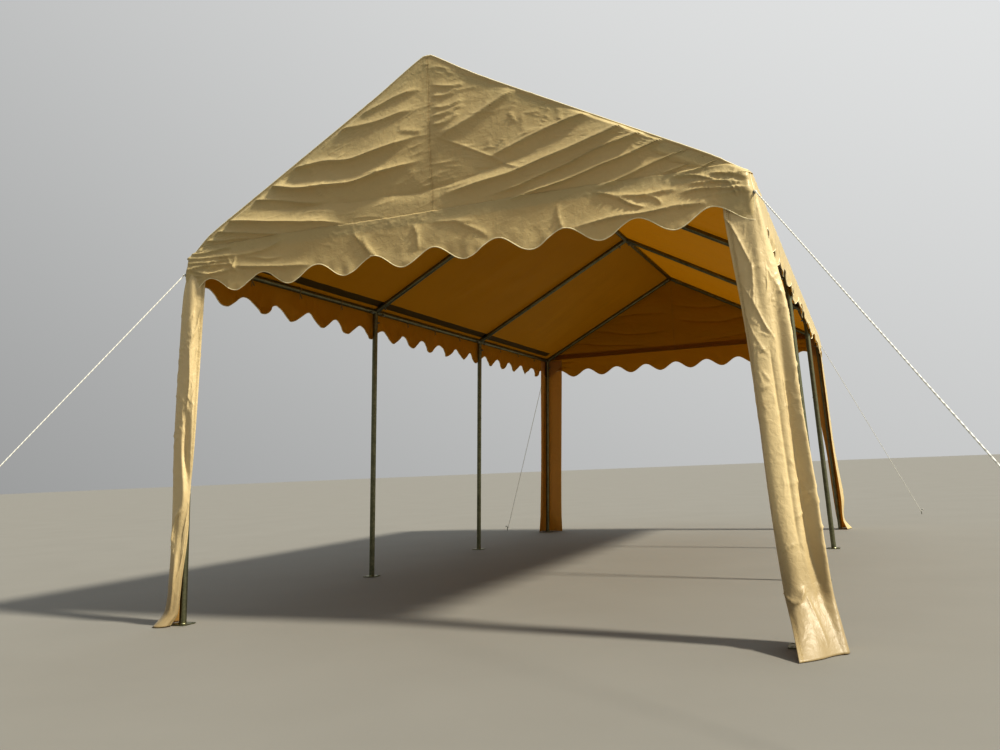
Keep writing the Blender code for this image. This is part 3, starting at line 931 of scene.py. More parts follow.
# Each fold: the points of its crest from left to right, its height, its widths above and
# below, and how square its shoulders are where they aren't those of a sharp fold
FRONT_FOLDS = (
    # Slack high up, hanging from the middle seam
    (((-420, 2600), (-280, 2640), (-150, 2670), (-20, 2680)), 6, 35, 18),
    (((-660, 2560), (-500, 2550), (-310, 2550), (-160, 2570), (-20, 2580)), 7, 40, 20),
    (((-170, 2480), (-20, 2450)), 4, 20, 14),
    # The long slack folds of the left half
    (((-990, 2420), (-820, 2400), (-640, 2390), (-460, 2380), (-280, 2400), (-20, 2440)), 13, 55, 26),
    (((-1140, 2350), (-980, 2320), (-770, 2280), (-460, 2260), (-170, 2300), (-20, 2320)), 15, 50, 22),
    (((-1220, 2290), (-1070, 2260), (-900, 2230), (-740, 2200), (-590, 2180)), 8, 30, 18),
    (((-1420, 2200), (-1250, 2170), (-960, 2120), (-650, 2080), (-450, 2040)), 12, 45, 24),
    (((-1480, 2150), (-1350, 2130), (-1160, 2090), (-970, 2060), (-820, 2040)), 9, 26, 14),
    (((-1540, 2090), (-1420, 2080), (-1200, 2060), (-1050, 2050)), 7, 22, 12),
    (((-450, 2220), (-380, 2260), (-260, 2300)), 4, 20, 14),
    # Short cross creases where the long folds bend
    (((-740, 2430), (-710, 2380), (-680, 2330)), 4, 10, 10),
    (((-700, 2290), (-620, 2210)), 4, 10, 8),
    (((-640, 2290), (-570, 2220)), 4, 10, 8),
    # The wide hollow across the whole gable
    (((-1120, 2190), (-710, 2180), (-290, 2160), (100, 2170), (470, 2250), (840, 2350)), -6, 50, 50, 1.8),
    # Fine creases beside the middle seam
    (((20, 2690), (120, 2660), (200, 2660)), 4, 16, 12),
    (((20, 2630), (100, 2620), (170, 2650)), 4, 16, 12),
    (((20, 2570), (110, 2560), (200, 2590)), 4, 18, 12),
    (((20, 2520), (100, 2530), (200, 2560)), 4, 16, 12),
    (((10, 2480), (90, 2480), (180, 2520)), 5, 18, 12),
    # The slack folds of the right half, which run up to the rafter
    (((30, 2400), (140, 2440), (310, 2510), (500, 2590)), 10, 45, 30, 1.2),
    (((20, 2430), (170, 2350), (370, 2240), (520, 2170)), 4, 14, 12),
    (((260, 2250), (370, 2280), (580, 2340), (860, 2400), (1020, 2430)), 11, 40, 26),
    (((0, 2100), (150, 2130), (370, 2160), (670, 2220), (1030, 2310), (1200, 2350)), 14, 55, 30, 1.2),
    (((250, 2070), (470, 2100), (670, 2150), (870, 2210), (1100, 2260), (1240, 2300)), 11, 26, 13),
    (((340, 2030), (570, 2060), (760, 2100), (960, 2150), (1170, 2210), (1320, 2250)), 12, 26, 14),
    (((790, 2030), (900, 2040), (1090, 2100), (1280, 2150), (1420, 2190)), 9, 20, 12),
    (((1140, 2050), (1230, 2070), (1370, 2120)), 6, 14, 10),
    (((1200, 2030), (1310, 2050), (1400, 2090)), 6, 12, 9),
    # Small upright creases
    (((420, 2470), (460, 2400)), 3, 10, 10),
    (((490, 2460), (490, 2350)), 3, 10, 10),
    (((680, 2450), (690, 2380)), 3, 10, 10),
    # Pleats drawn together at the left corner by the guy rope
    (((-1560, 1990), (-1360, 1980), (-1170, 1970)), 6, 14, 9),
    (((-1540, 1965), (-1350, 1955), (-1200, 1950)), 6, 12, 8),
    (((-1550, 1920), (-1400, 1940), (-1170, 1920)), 7, 14, 9),
    (((-1540, 1940), (-1350, 1890), (-1170, 1900)), 6, 12, 9),
    (((-1200, 1880), (-1190, 1920), (-1180, 1970)), 7, 16, 12),
    (((-1560, 2015), (-1420, 2010), (-1300, 2020), (-1180, 2020)), 5, 10, 7),
    (((-1500, 1900), (-1420, 1885), (-1330, 1890), (-1240, 1910)), 5, 11, 8),
    (((-1470, 1860), (-1380, 1870), (-1280, 1860)), 4, 10, 8),
    (((-1240, 1980), (-1220, 1930), (-1160, 1870)), 5, 10, 8),
    (((-1160, 1960), (-1060, 1950), (-960, 1930), (-860, 1940)), 4, 10, 8),
    (((-1330, 1980), (-1160, 1970), (-1020, 1980), (-930, 2000), (-830, 2040)), 6, 14, 10),
    # The taut line of the left tongues, whose tips are set back
    (((-1240, 1915), (-950, 1885), (-700, 1855)), 9, 30, 8, 1.1),
    # Creases in the valance
    (((-460, 2010), (-400, 1930), (-330, 1840)), 6, 14, 10),
    (((-410, 1980), (-360, 1900), (-300, 1840)), 5, 12, 10),
    (((-110, 2000), (-80, 1930), (-80, 1850)), 6, 16, 12),
    (((0, 1990), (120, 1980), (240, 1960)), 4, 12, 10),
    (((110, 1990), (250, 1910), (310, 1860)), 5, 14, 10),
    (((650, 1990), (650, 1930), (680, 1850)), 5, 12, 10),
    (((800, 2020), (910, 1980), (1000, 1930), (1080, 1910)), 7, 14, 10),
    (((900, 1980), (1040, 1970), (1180, 1970), (1220, 1940)), 6, 12, 9),
    (((1030, 1970), (1110, 1950), (1150, 1900)), 5, 10, 9),
    # The taut line of the right tongues
    (((690, 1855), (850, 1870), (1100, 1885), (1370, 1880)), 9, 26, 8, 1.1),
    # Pleats drawn together at the right corner by the guy rope
    (((1170, 2030), (1270, 2020), (1330, 2000), (1400, 1970)), 6, 12, 8),
    (((1330, 2020), (1440, 2000), (1530, 1960)), 6, 12, 8),
    (((1240, 1980), (1390, 1975), (1500, 1945)), 6, 11, 8),
    (((1200, 1940), (1310, 1950), (1400, 1940), (1540, 1920)), 7, 14, 8),
    (((1360, 1910), (1460, 1915), (1550, 1905)), 4, 10, 7),
    (((1410, 1985), (1450, 1940), (1470, 1890)), 4, 10, 8),
)

# The back gable's outside isn't seen, so its folds are plain ones of the same kind
BACK_FOLDS = (
    (((-950, 2320), (-500, 2270), (-20, 2330)), 6, 50, 26, 1.3),
    (((-1220, 2180), (-750, 2110), (-300, 2080)), 5, 40, 22, 1.3),
    (((-700, 2450), (-350, 2440), (-20, 2500)), 5, 45, 24, 1.3),
    (((20, 2420), (350, 2440), (720, 2440)), 5, 45, 26, 1.3),
    (((50, 2220), (500, 2220), (1000, 2320)), 6, 50, 26, 1.3),
    (((300, 2080), (800, 2120), (1250, 2180)), 5, 30, 16, 1.3),
    (((-1550, 1960), (-1350, 1950), (-1150, 1960)), 5, 12, 9, 1.2),
    (((-1550, 1920), (-1380, 1910), (-1200, 1890)), 5, 12, 9, 1.2),
    (((1150, 1960), (1350, 1950), (1550, 1960)), 5, 12, 9, 1.2),
    (((1200, 1890), (1380, 1910), (1550, 1920)), 5, 12, 9, 1.2),
)


def over_end_frame(x, z, lift, facing):
    """Where a point of the flat gable lies: before the end frame, or bent over its rafters
    and round its corner posts. lift is how far it stands off the flat."""
    far = np.abs(x)
    above = far * slope_sine + (z - ridge_z) * slope_cosine
    along = np.clip(far * slope_cosine - (z - ridge_z) * slope_sine, 0, slope_length)
    post_x = eave_x + lean * np.clip(eave_z - z, 0, None)
    past_post = (z <= eave_z) & (far > post_x)
    past_rafter = (above > 0) & ~past_post
    core_x = np.where(past_post, post_x, np.where(past_rafter, along * slope_cosine, far))
    core_z = np.where(past_rafter, ridge_z - along * slope_sine, z)
    off_x, off_z = far - core_x, z - core_z
    past = np.hypot(off_x, off_z)
    turn = np.clip(past / GABLE_TURN_SIDE, 0, math.pi / 2)
    off_x, off_z = off_x / np.maximum(past, 1e-9), off_z / np.maximum(past, 1e-9)
    upward = smoothstep(off_z / slope_cosine)
    last_turn = GABLE_TURN_SIDE + (GABLE_TURN_TOP - GABLE_TURN_SIDE) * upward
    settle = smoothstep(turn / math.radians(60))
    reach = GABLE_TURN_FRONT + (last_turn - GABLE_TURN_FRONT) * settle + lift
    square = squareness(along / slope_length) * np.where(past_post, 0, upward)
    rise = square * past + (1 - square) * reach * np.sin(turn)
    out = square * (GABLE_TURN_FRONT + lift) + (1 - square) * reach * np.cos(turn)
    return np.column_stack([np.where(x < 0, -1.0, 1.0) * (core_x + rise * off_x),
                            facing * (half_length + out), core_z + rise * off_z])


def gable_edge(x, facing):
    """How high the flat gable reaches at x, with its turn over the rafters."""
    far = np.abs(x)
    down = np.clip(far / eave_x, 0, 1)
    top = GABLE_TURN_TOP + (front_looseness(down, x) if facing < 0 else 0)
    round_top = GABLE_TURN_SIDE * math.pi / 2
    gable_turn = round_top + (top - round_top) * squareness(down)
    straight = ridge_z + (gable_turn - far * slope_sine) / slope_cosine
    apex = ridge_z + np.sqrt(np.clip(gable_turn ** 2 - far ** 2, 0, None))
    corner = eave_z + np.sqrt(np.clip(gable_turn ** 2 - (far - eave_x) ** 2, 0, None))
    edge = np.where(far < gable_turn * slope_sine, apex, straight)
    return np.where(far > eave_x + gable_turn * slope_sine, corner, edge)


def hang_line(x):
    """How far the slack lines of the cloth rise at x. They sink from the left rafter, rise
    again before the middle seam and climb to the right rafter."""
    return np.where(x < 0, 0.16 * (x + 0.45) ** 2, 0.0324 + 0.144 * x + 0.08 * x ** 2)


def strewn_creases(x, z, facing, seed):
    """Short creases over the whole gable. Most follow its slack, some cross it."""
    draw = np.random.default_rng(seed)
    centres, tilts = [], []
    while len(centres) < STREWN_CREASES:
        middle = draw.uniform(-1.30, 1.30)
        level = draw.uniform(eave_z + 0.05, ridge_z - 0.08)
        if level > float(gable_edge(np.array([middle]), facing)[0]) - 0.09:
            continue
        lean_here = math.atan(float(hang_line(middle + 0.05) - hang_line(middle - 0.05)) / 0.1)
        crossing = draw.random() < 0.30
        centres.append((middle, level))
        tilts.append(lean_here + (draw.uniform(0.5, 2.2) if crossing else draw.normal(0, 0.16)))
    return scattered(x, z, centres, tilts, seed + 1, STREWN_LENGTHS, STREWN_HEIGHTS,
                     STREWN_WIDTHS)


def gable_slack(x, z, folds, facing, seed):
    """How far the cloth stands out. It lies tight on the rafters and is free below them.
    The seam's band is puckered, the corners are crumpled and the tongues flutter."""
    under_rafter = -(np.abs(x) * slope_sine + (z - ridge_z) * slope_cosine)
    free = smoothstep((under_rafter + HELD_ABOVE_RAFTER) / 0.022)
    near_edge = np.exp(-((gable_edge(x, facing) - z) / EDGE_REACH) ** 2)
    corner_gap = np.hypot((np.abs(x) - eave_x) * 0.45, z - eave_z + 0.03)
    crumpled = np.exp(-(corner_gap / CRUMPLED_RADIUS) ** 2)
    band = np.exp(-(((z - eave_z - SEAM_TOP / 2) / 0.030) ** 4))
    low = smoothstep((eave_z - z) / VALANCE_DROP)
    level = z - hang_line(x)
    bent_x = x + 0.006 * ripple(x, z, 0.45, seed + 11)
    bent_z = z + 0.0030 * ripple(x, z, 0.32, seed + 12)
    total = free * (SLACK * folded(bent_x, bent_z, folds, WIDER_ABOVE, STEEPER_BELOW)
                    + strewn_creases(x, z, facing, seed + 4)
                    + GABLE_RIPPLES * ripple(x, level, 0.42, seed + 3, stretch=3)
                    + GABLE_CREASES * creased(x, level, 0.085, seed + 8, stretch=3.0)
                    + EDGE_CREASES * near_edge * creased(x, z, 0.060, seed + 9))
    total += band * (SEAM_PUCKERS * creased(x, z * 0.8, 0.048, seed + 1)
                     + SEAM_FINE_PUCKERS * creased(x, z, 0.022, seed + 2))
    total += crumpled * (CORNER_CREASES * creased(x, z * 2.6, 0.13, seed + 5)
                         + CORNER_FINE_CREASES * creased(x, z * 1.5, 0.060, seed + 14))
    total += low * TONGUE_FLUTTER * ripple(x, z * 0.5, 0.21, seed + 6)
    total += low ** 2 * TONGUE_RIPPLES * ripple(x, z, 0.09, seed + 7)
    deepest = DEEPEST_AT_RAFTER + DEEPEST_HOLLOW * smoothstep((under_rafter - 0.022) / 0.09)
    deepest = np.where(z < eave_z + 0.05, DEEPEST_HOLLOW, deepest)
    return np.maximum(total, -deepest)


def crowded(share, crowding):
    """Shares from -1 to 1 of a row of columns that crowd towards both ends."""
    place = 2 * share - 1
    return place * (1 + crowding) - crowding * place ** 3


def scallop(along, reach):
    """How far the bound edge rises above the tips of the tongues."""
    count = round(2 * reach / SCALLOP_PITCH)
    return SCALLOP_DEPTH * (1 - np.cos(2 * math.pi * count * (along / reach + 1) / 2)) / 2


def guy_pull(gap, z):
    """How far a guy rope draws the cloth out, at this distance from the corner's seam."""
    pulled = GUY_PULL * np.exp(-((z - eave_z + GUY_DROP) / 0.045) ** 2)
    loose = 0.006 * smoothstep((eave_z - GUY_DROP - z) / 0.12)
    return (pulled + loose) * np.exp(-(gap / 0.022) ** 2)


for end, facing in ENDS.items():
    folds, seed, number = {"front": (FRONT_FOLDS, 20, 1), "back": (BACK_FOLDS, 40, 4)}[end]

    def end_sheet(x, z, lift):
        cut = np.column_stack([-facing * x, CUT_TALLER[end] * z])
        return over_end_frame(x, z, lift, facing), cut

    def gable_place(u, v):
        x = -facing * (eave_x + GABLE_TURN_SIDE * math.pi / 2 - 0.001) * crowded(u, 0.15)
        bottom = eave_z + 0.004
        z = bottom + (np.maximum(gable_edge(x, facing), bottom + 0.002) - bottom) * v
        return end_sheet(x, z, gable_slack(-facing * x, z, folds, facing, seed))

    def end_valance_place(u, v):
        share = -facing * crowded(u, 0.22)
        wrap = GABLE_TURN_SIDE * CORNER_WRAP
        flat_reach = eave_x + wrap + lean * VALANCE_DROP
        flat_x = share * flat_reach
        bottom = valance_bottom + scallop(flat_x, flat_reach)
        top = np.minimum(eave_z + SEAM_TOP + 0.0015 * ripple(flat_x, flat_x, 0.05, seed + 21),
                         gable_edge(share * (eave_x + wrap), facing) - 0.005)
        z = bottom + (top - bottom) * v
        reach = eave_x + wrap + lean * np.clip(eave_z - z, 0, None)
        x = share * reach
        gap = reach - np.abs(x)
        lift = SEAM_LIFT + guy_pull(gap, z)
        lift += smoothstep(gap / 0.020) * gable_slack(-facing * x, z, folds, facing, seed)
        return end_sheet(x, z, lift)

    gable = hang_cloth(f"gable_{end}_cloth", GABLE_GRID[end], gable_place,
                       stands_for=[f"gable_{end}"],
                       outside=seamed_outside, inside=seamed_painted_shade_inside)
    hang_cloth(f"valance_{end}_cloth", END_VALANCE_GRID[end], end_valance_place,
               stands_for=[f"gable_{end}"],
               bound=(401, (0, facing, 0)), inside=valance_painted_shade_inside)


# Side valances
# A scalloped strip of the cover's cloth hangs along each eave, sewn on over the roof's
# edge, and joined to the end valances down the corners. Its tongues curl and flutter.
SIDE_VALANCE_GRID = (560, 26)
SIDE_TURN = 0.0290
SIDE_LAP = 0.012
TONGUE_SWAY = 0.005
TONGUE_CURL = 0.011
TONGUE_FOLDS = 0.004
SIDE_PUCKERS = 0.0012
SIDE_CORNER_CREASES = 0.0030
side_reach = half_length + SIDE_TURN * CORNER_WRAP


def beside_eave(along, z, lift, outward):
    """Where a point of the flat side valance lies: against the eave and the posts."""
    tip = np.clip(np.abs(along) - half_length, 0, None) / SIDE_TURN
    rise = np.clip(z - eave_z, 0, None) / SIDE_TURN
    reach = SIDE_TURN + lift
    x = eave_x + lean * np.clip(eave_z - z, 0, None) + reach * np.cos(tip) * np.cos(rise)
    y = np.clip(along, -half_length, half_length) + np.sign(along) * reach * np.sin(tip)
    height = np.minimum(z, eave_z) + reach * np.sin(rise) * np.cos(tip)
    return np.column_stack([outward * x, y, height])


for side, outward in SIDES.items():
    seed = 60 if side == "left" else 80

    def side_valance_place(u, v):
        along = outward * side_reach * (2 * u - 1)
        bottom = valance_bottom + scallop(along, side_reach)
        z = bottom + (eave_z + SIDE_LAP - bottom) * v
        gap = side_reach - np.abs(along)
        low = smoothstep((eave_z - z) / VALANCE_DROP)
        clear = smoothstep((gap - 0.11) / 0.22)
        near_corner = np.exp(-(gap / 0.20) ** 2)
        lift = (low * TONGUE_SWAY * ripple(along, z * 0.4, 0.30, seed)
                + low ** 2 * clear * TONGUE_CURL * ripple(along, z * 0.6, 0.25, seed + 1)
                + low ** 2 * clear * TONGUE_FOLDS * ripple(along, z, 0.10, seed + 2)
                + SIDE_PUCKERS * ripple(along, z * 0.3, 0.05, seed + 3)
                + SIDE_CORNER_CREASES * near_corner * creased(along, z * 2, 0.08, seed + 4))
        lift = lift * smoothstep(gap / 0.020) + guy_pull(gap, z)
        return beside_eave(along, z, lift, outward), np.column_stack([along, z])

    hang_cloth(f"valance_{side}_cloth", SIDE_VALANCE_GRID, side_valance_place,
               stands_for=[f"valance_{side}"],
               bound=(561, (outward, 0, 0)), inside=valance_painted_shade_inside)

# The seam down each corner, where the end valance meets the side valance
for side, end, outward, facing in CORNERS:
    z = np.linspace(valance_bottom, eave_z + 0.004, 40)
    reach = (SIDE_TURN - CLOTH_THICKNESS / 2 + guy_pull(0, z)) * math.cos(math.pi / 4)
    x = eave_x + lean * (eave_z - np.minimum(z, eave_z)) + reach
    points = np.column_stack([outward * x, facing * (half_length + reach), z])
    bind_edge(f"corner_seam_{side}_{end}", points)


# Leg covers
# A strip of cloth hangs round the outside of each corner post, sewn up under the
# valances. It slides off the tube as it falls, and its foot is kicked out on the ground.
LEG_COVER_GRID = {"front": (76, 280), "back": (48, 180)}
# The front covers' look is darkened towards the foot: painted shade.
LEG_LOOKS = {"front": hemmed_outside, "back": cloth_outside}
STREWN_LEG_CREASES = 44
LEG_RIPPLES = 0.0022
LEG_CREASES = 0.0030
POST_CLEARANCE = 0.0225
TIED_HEIGHT = 1.86

# Each section: its height, and points from the free edge of the front arm, round the post,
# to the free edge of the side arm, in distances aside from and ahead of the post's axis
HUGGING = ((-110, 24.5), (-55, 24.5), (-5, 24.5), (17.3, 17.3), (24.5, -5), (24.5, -70),
           (24.5, -150))
FRONT_RIGHT_SECTIONS = (
    (3, (12, 310), (48, 280), (88, 225), (124, 175), (154, 135), (186, 95), (162, -20)),
    (110, (-12, 165), (18, 178), (60, 150), (98, 112), (128, 80), (166, 54), (152, -45)),
    (220, (-37, 50), (-12, 85), (30, 82), (70, 55), (100, 25), (148, 20), (140, -70)),
    (450, (-52, 20), (-32, 58), (8, 60), (50, 32), (76, 0), (138, 12), (125, -78)),
    (700, (-60, 15), (-40, 50), (4, 50), (45, 22), (68, -6), (131, 6), (115, -82)),
    (1000, (-65, 20), (-42, 50), (4, 47), (43, 22), (64, 2), (117, 4), (100, -85)),
    (1400, (-81, 22), (-48, 42), (0, 43), (35, 34), (62, 18), (104, 2), (90, -80)),
    (1780, (-107, 23), (-58, 30), (-8, 32), (26, 28), (50, 12), (48, -60), (34, -140)),
    (1985, *HUGGING),
)
FRONT_LEFT_SECTIONS = (
    (3, (16, 72), (30, 104), (56, 126), (90, 122), (118, 86), (112, 20), (75, -70)),
    (60, (0, 40), (6, 60), (20, 76), (46, 78), (94, 44), (80, -15), (55, -66)),
    (140, (-6, 32), (0, 52), (10, 66), (24, 72), (84, 32), (72, -20), (52, -65)),
    (250, (-14, 30), (-4, 46), (4, 62), (16, 72), (78, 32), (68, -22), (50, -66)),
    (475, (-34, 20), (-20, 34), (-2, 40), (26, 42), (60, 42), (66, -26), (50, -70)),
    (700, (-46, 26), (-52, 42), (-46, 58), (-26, 72), (70, 30), (68, -28), (50, -72)),
    (950, (-82, 46), (-66, 60), (-20, 42), (0, 62), (72, 30), (68, -28), (50, -72)),
    (1400, (-74, 12), (-58, 38), (-40, 56), (10, 48), (64, 26), (60, -30), (45, -80)),
    (1780, (-95, 18), (-64, 34), (-34, 48), (6, 40), (45, 26), (36, -45), (30, -105)),
    (1985, *HUGGING),
)
BACK_LEFT_SECTIONS = (
    (3, (-150, 80), (-85, 110), (-20, 130), (60, 120), (100, 60), (90, -20), (70, -90)),
    (220, (-160, 26), (-85, 30), (-10, 32), (40, 30), (60, 0), (50, -60), (45, -120)),
    (1200, (-165, 22), (-85, 30), (-8, 30), (30, 26), (45, 0), (38, -65), (30, -130)),
    (1780, (-170, 23.5), (-85, 24.5), (-5, 25), (20, 20), (28, -5), (26, -70), (26, -150)),
    (1985, (-170, 24.5), (-85, 24.5), *HUGGING[2:]),
)
BACK_RIGHT_SECTIONS = (
    (3, (-10, 80), (25, 120), (60, 130), (90, 115), (112, 70), (95, -10), (70, -90)),
    (100, (-22, 50), (10, 80), (30, 70), (45, 55), (50, 20), (45, -40), (40, -100)),
    (320, (-30, 35), (0, 52), (35, 52), (60, 35), (70, 5), (58, -60), (45, -120)),
    (850, (-45, 30), (-15, 38), (15, 38), (35, 28), (42, 0), (38, -65), (30, -130)),
    (1400, (-95, 26), (-45, 30), (-2, 30), (25, 24), (34, 0), (30, -68), (28, -140)),
    (1985, *HUGGING),
)

# Each crease, like a fold of the gable. Its points lie on the flat cover, across and up
FRONT_RIGHT_CREASES = (
    (((-20, 1850), (40, 1740), (100, 1570)), 13, 16, 6, 1),
    (((100, 1620), (90, 1500), (75, 1380)), 10, 12, 7, 1),
    (((30, 1520), (70, 1450), (120, 1330), (160, 1280)), 9, 12, 7, 1),
    (((20, 1420), (60, 1300), (110, 1200)), 7, 12, 7, 1),
    (((100, 1620), (80, 1500), (50, 1400)), 5, 9, 7, 1),
    (((60, 1320), (55, 1220), (40, 1130)), 6, 10, 7, 1),
    (((30, 1120), (70, 1060), (120, 1080)), 6, 10, 7, 1),
    (((130, 1300), (140, 1000), (150, 600), (155, 300)), -8, 14, 12, 1.3),
    (((200, 1150), (190, 950), (205, 750)), 5, 10, 10, 1.2),
    (((180, 800), (195, 600), (190, 350)), 5, 12, 12, 1.2),
    (((0, 245), (40, 200), (90, 195), (140, 255)), 16, 22, 10, 1),
    (((130, 240), (145, 140), (165, 30)), 7, 12, 12, 1.3),
)
FRONT_LEFT_CREASES = (
    (((10, 1740), (50, 1620), (100, 1520)), 8, 12, 8, 1),
    (((120, 1550), (100, 1300), (110, 1100)), 7, 10, 10, 1.1),
    (((160, 640), (190, 530), (210, 420)), 12, 16, 8, 1.1),
    (((20, 900), (50, 650), (80, 400)), 5, 10, 8, 1.1),
    (((30, 420), (70, 300), (120, 220)), 7, 12, 8, 1),
)
leg_covers = {
    ("right", "front"): (FRONT_RIGHT_SECTIONS, FRONT_RIGHT_CREASES, 100),
    ("left", "front"): (FRONT_LEFT_SECTIONS, FRONT_LEFT_CREASES, 110),
    ("left", "back"): (BACK_LEFT_SECTIONS, (), 120),
    ("right", "back"): (BACK_RIGHT_SECTIONS, (), 130),
}


def leg_plan(heights, corners, share, z):
    """Where the cover runs at these shares of its width and these heights: how far aside
    from the post's axis, and how far ahead of it."""
    corners = through(heights, corners, z)
    weights = through(np.linspace(0, 1, corners.shape[1]), np.eye(corners.shape[1]), share)
    return np.einsum("nk,nkc->nc", weights, corners)


for (side, end), (sections, creases, seed) in leg_covers.items():
    outward, facing = SIDES[side], ENDS[end]
    heights = np.array([height for height, *_ in sections]) / 1000
    corners = np.array([corners for _, *corners in sections]) / 1000

    def leg_cover_place(u, v):
        share = 1 - u if outward * facing > 0 else u
        z = heights[0] + (heights[-1] - heights[0]) * v
        plan = leg_plan(heights, corners, share, z)
        run = (leg_plan(heights, corners, share + 0.004, z)
               - leg_plan(heights, corners, share - 0.004, z))
        away = np.column_stack([-run[:, 1], run[:, 0]]) / np.hypot(*run.T)[:, None]
        flat = LEG_COVER_WIDTH * share
        free = smoothstep((TIED_HEIGHT - z) / 0.25)
        crinkled = 0.35 + 0.65 * smoothstep((z - 0.75) / 0.4)
        draw = np.random.default_rng(seed + 9)
        centres = [(draw.uniform(0.02, 0.31), draw.uniform(0.25, 1.75) ** 0.8 * 1.1)
                   for _ in range(STREWN_LEG_CREASES)]
        tilts = [draw.choice((0.6, -0.9, 1.35)) + draw.normal(0, 0.25) for _ in centres]
        bulge = free * (LEG_RIPPLES * ripple(flat, z, 0.12, seed, spread=0.12)
                        + scattered(flat, z, centres, tilts, seed + 1,
                                    lengths=(0.04, 0.16), heights=(0.0022, 0.0055),
                                    widths=(0.006, 0.012))
                        + LEG_CREASES * crinkled * creased(flat, z, 0.08, seed + 2, spread=1.3))
        plan += (bulge + folded(flat, z, creases))[:, None] * away
        gap = np.hypot(plan[:, 0], plan[:, 1])
        plan *= (np.maximum(gap, POST_CLEARANCE) / gap)[:, None]
        x = eave_x + lean * (eave_z - z) + plan[:, 0]
        points = np.column_stack([outward * x, facing * (half_length + plan[:, 1]), z])
        return points, np.column_stack([u * LEG_COVER_WIDTH, z])

    name = f"leg_cover_{side}_{end}"
    hang_cloth(f"{name}_cloth", LEG_COVER_GRID[end], leg_cover_place,
               stands_for=[name],
               outside=LEG_LOOKS[end], inside=daylit_inside)


# Guy ropes
# White laid polypropylene rope, 6 mm, from the corner of the valance to a peg. It is
# pulled taut, with a knot at each end, so it isn't a free cord.
ROPE_RADIUS = 0.003
STRAND_SWELL = 0.00075
LAY_LENGTH = 0.026
RINGS_PER_TURN = 8
ROPE_SIDES = 9
KNOT_RADIUS = 0.008
KNOT_CORD_RADIUS = 0.0028
KNOT_CORD_SIDES = 8
FIBRES_PER_METRE = 900.0

# Polypropylene fibre, laid: white, with a dull waxy gloss and fibres about 1 mm apart
rope_finish, add, place = new_material("laid_polypropylene_rope")
fibres = add("TexNoise", {"Vector": place["Object"], "Scale": FIBRES_PER_METRE, "Detail": 3.0})
colour = add("Mix", {"Factor": fibres, "A": linear("D6D6CC"), "B": linear("F4F4EE")},
             data_type="RGBA")
bump = add("Bump", {"Height": fibres, "Strength": 0.4, "Distance": 0.0005})
shader = add("BsdfPrincipled", {"Base Color": colour, "Roughness": 0.55, "Normal": bump})
add("OutputMaterial", {"Surface": shader})


def swept(bm, path, radius_at, sides):
    """A round section swept along a path of points. radius_at gives the radius at an
    angle and a step."""
    points = np.asarray(path, float)
    ahead = np.gradient(points, axis=0)
    ahead /= np.linalg.norm(ahead, axis=1, keepdims=True)
    across = np.cross(ahead[0], (0.31, 0.47, 0.83))
    rings = []
    for step, (point, forward) in enumerate(zip(points, ahead)):
        across = across - forward * (across @ forward)
        across /= np.linalg.norm(across)
        upward = np.cross(forward, across)
        angles = [2 * math.pi * turn / sides for turn in range(sides)]
        rings.append([bm.verts.new(point + radius_at(angle, step)
                                   * (math.cos(angle) * across + math.sin(angle) * upward))
                      for angle in angles])
    for first, second in zip(rings, rings[1:]):
        for turn in range(sides):
            after = (turn + 1) % sides
            bm.faces.new((first[turn], first[after], second[after], second[turn]))
    return rings


def overhand_knot(bm, centre):
    """A tight overhand knot of the same rope."""
    turn = np.linspace(0, 2 * math.pi, 61)[:-1]
    path = np.column_stack([np.sin(turn) + 2 * np.sin(2 * turn),
                            np.cos(turn) - 2 * np.cos(2 * turn), -np.sin(3 * turn)])
    path = path / 3 * (KNOT_RADIUS - KNOT_CORD_RADIUS) + np.array(centre)
    part = bmesh.new()
    swept(part, np.vstack([path, path[:1]]), lambda angle, step: KNOT_CORD_RADIUS,
          KNOT_CORD_SIDES)
    bmesh.ops.remove_doubles(part, verts=part.verts, dist=0.0008)
    bmesh.ops.holes_fill(part, edges=part.edges)
    bmesh.ops.recalc_face_normals(part, faces=part.faces)
    add_shape(bm, part)


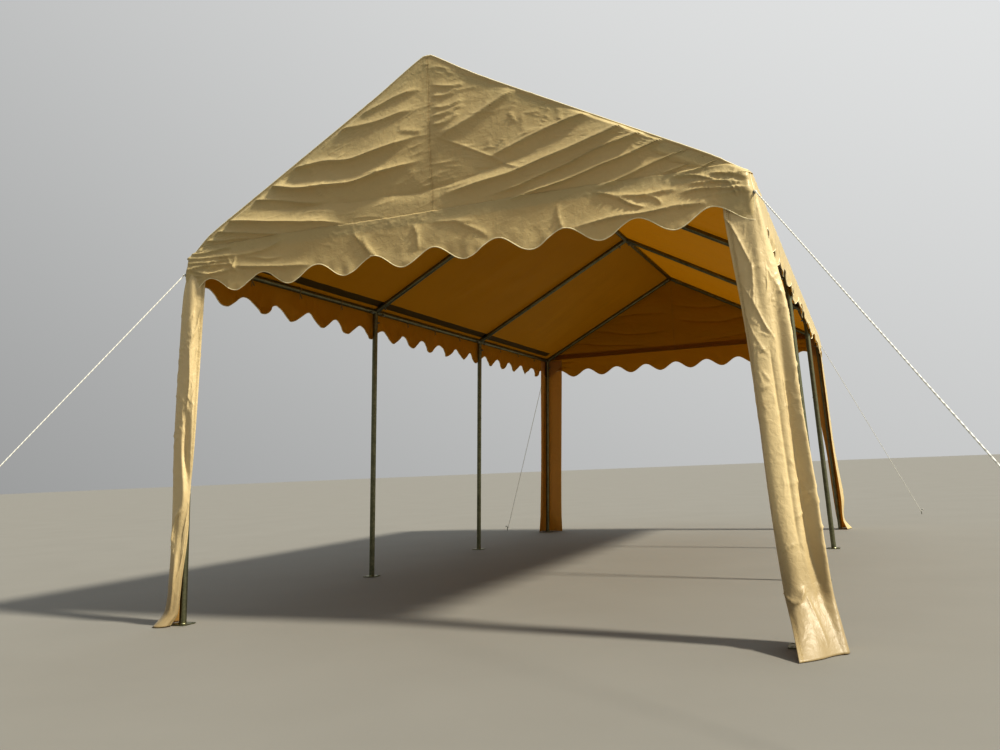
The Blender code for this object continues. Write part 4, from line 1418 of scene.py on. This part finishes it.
def laid_radius(angle, step):
    """The rope's radius: its three strands wind round it once in every lay length."""
    wound = 3 * angle + 2 * math.pi * step / RINGS_PER_TURN
    return ROPE_RADIUS - STRAND_SWELL / 2 + STRAND_SWELL / 2 * math.cos(wound)


rope_tops = {}
for side, end, outward, facing in CORNERS:
    node = f"guy_rope_{side}_{end}"
    low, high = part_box(node)
    knot = Vector((KNOT_RADIUS,) * 3)
    box = (low + knot, high - knot)
    top = Vector((box[outward < 0].x, box[facing < 0].y, box[1].z))
    bottom = Vector((box[outward > 0].x, box[facing > 0].y, box[0].z))
    rope_tops[side, end] = top
    run = bottom - top
    steps = round(run.length / LAY_LENGTH * RINGS_PER_TURN)
    bm = bmesh.new()
    rings = swept(bm, [top + run * step / steps for step in range(steps + 1)], laid_radius,
                  ROPE_SIDES)
    bm.faces.new(rings[0][::-1])
    bm.faces.new(rings[-1])
    bmesh.ops.recalc_face_normals(bm, faces=bm.faces)
    overhand_knot(bm, top)
    overhand_knot(bm, bottom)
    set_up(f"{node}_cord", bm, rope_finish, "rope", node)


# Eyelets
# A pressed ring of galvanised steel in each corner of the valances takes the guy rope.
# It is rolled over the cloth from both sides.
EYELET_RADIUS = 0.0085
EYELET_HOLE = 0.004
EYELET_THICKNESS = 0.0022
for side, end, outward, facing in CORNERS:
    diagonal = Vector((outward, facing, 0)).normalized()
    bm = bmesh.new()
    turned(bm, [(-EYELET_THICKNESS, EYELET_HOLE), (-EYELET_THICKNESS, EYELET_RADIUS * 0.8),
                (0, EYELET_RADIUS), (EYELET_THICKNESS, EYELET_RADIUS * 0.8),
                (EYELET_THICKNESS, EYELET_HOLE)],
           rope_tops[side, end] - diagonal * KNOT_RADIUS, diagonal, sides=24, ring=True)
    set_up(f"eyelet_{side}_{end}", bm, bolt_zinc, "galvanised_fitting")


# Pegs
# Bent round bar with a hook, galvanised. What stands out of the ground keeps its packed
# shape and gets the finish of a peg that has been hammered in before.
peg_steel = galvanised_steel("galvanised_peg_bar", "9A9C95", "6B6D66", 0.40)
for side, end, _, _ in CORNERS:
    finish_packed(f"peg_{side}_{end}", peg_steel)
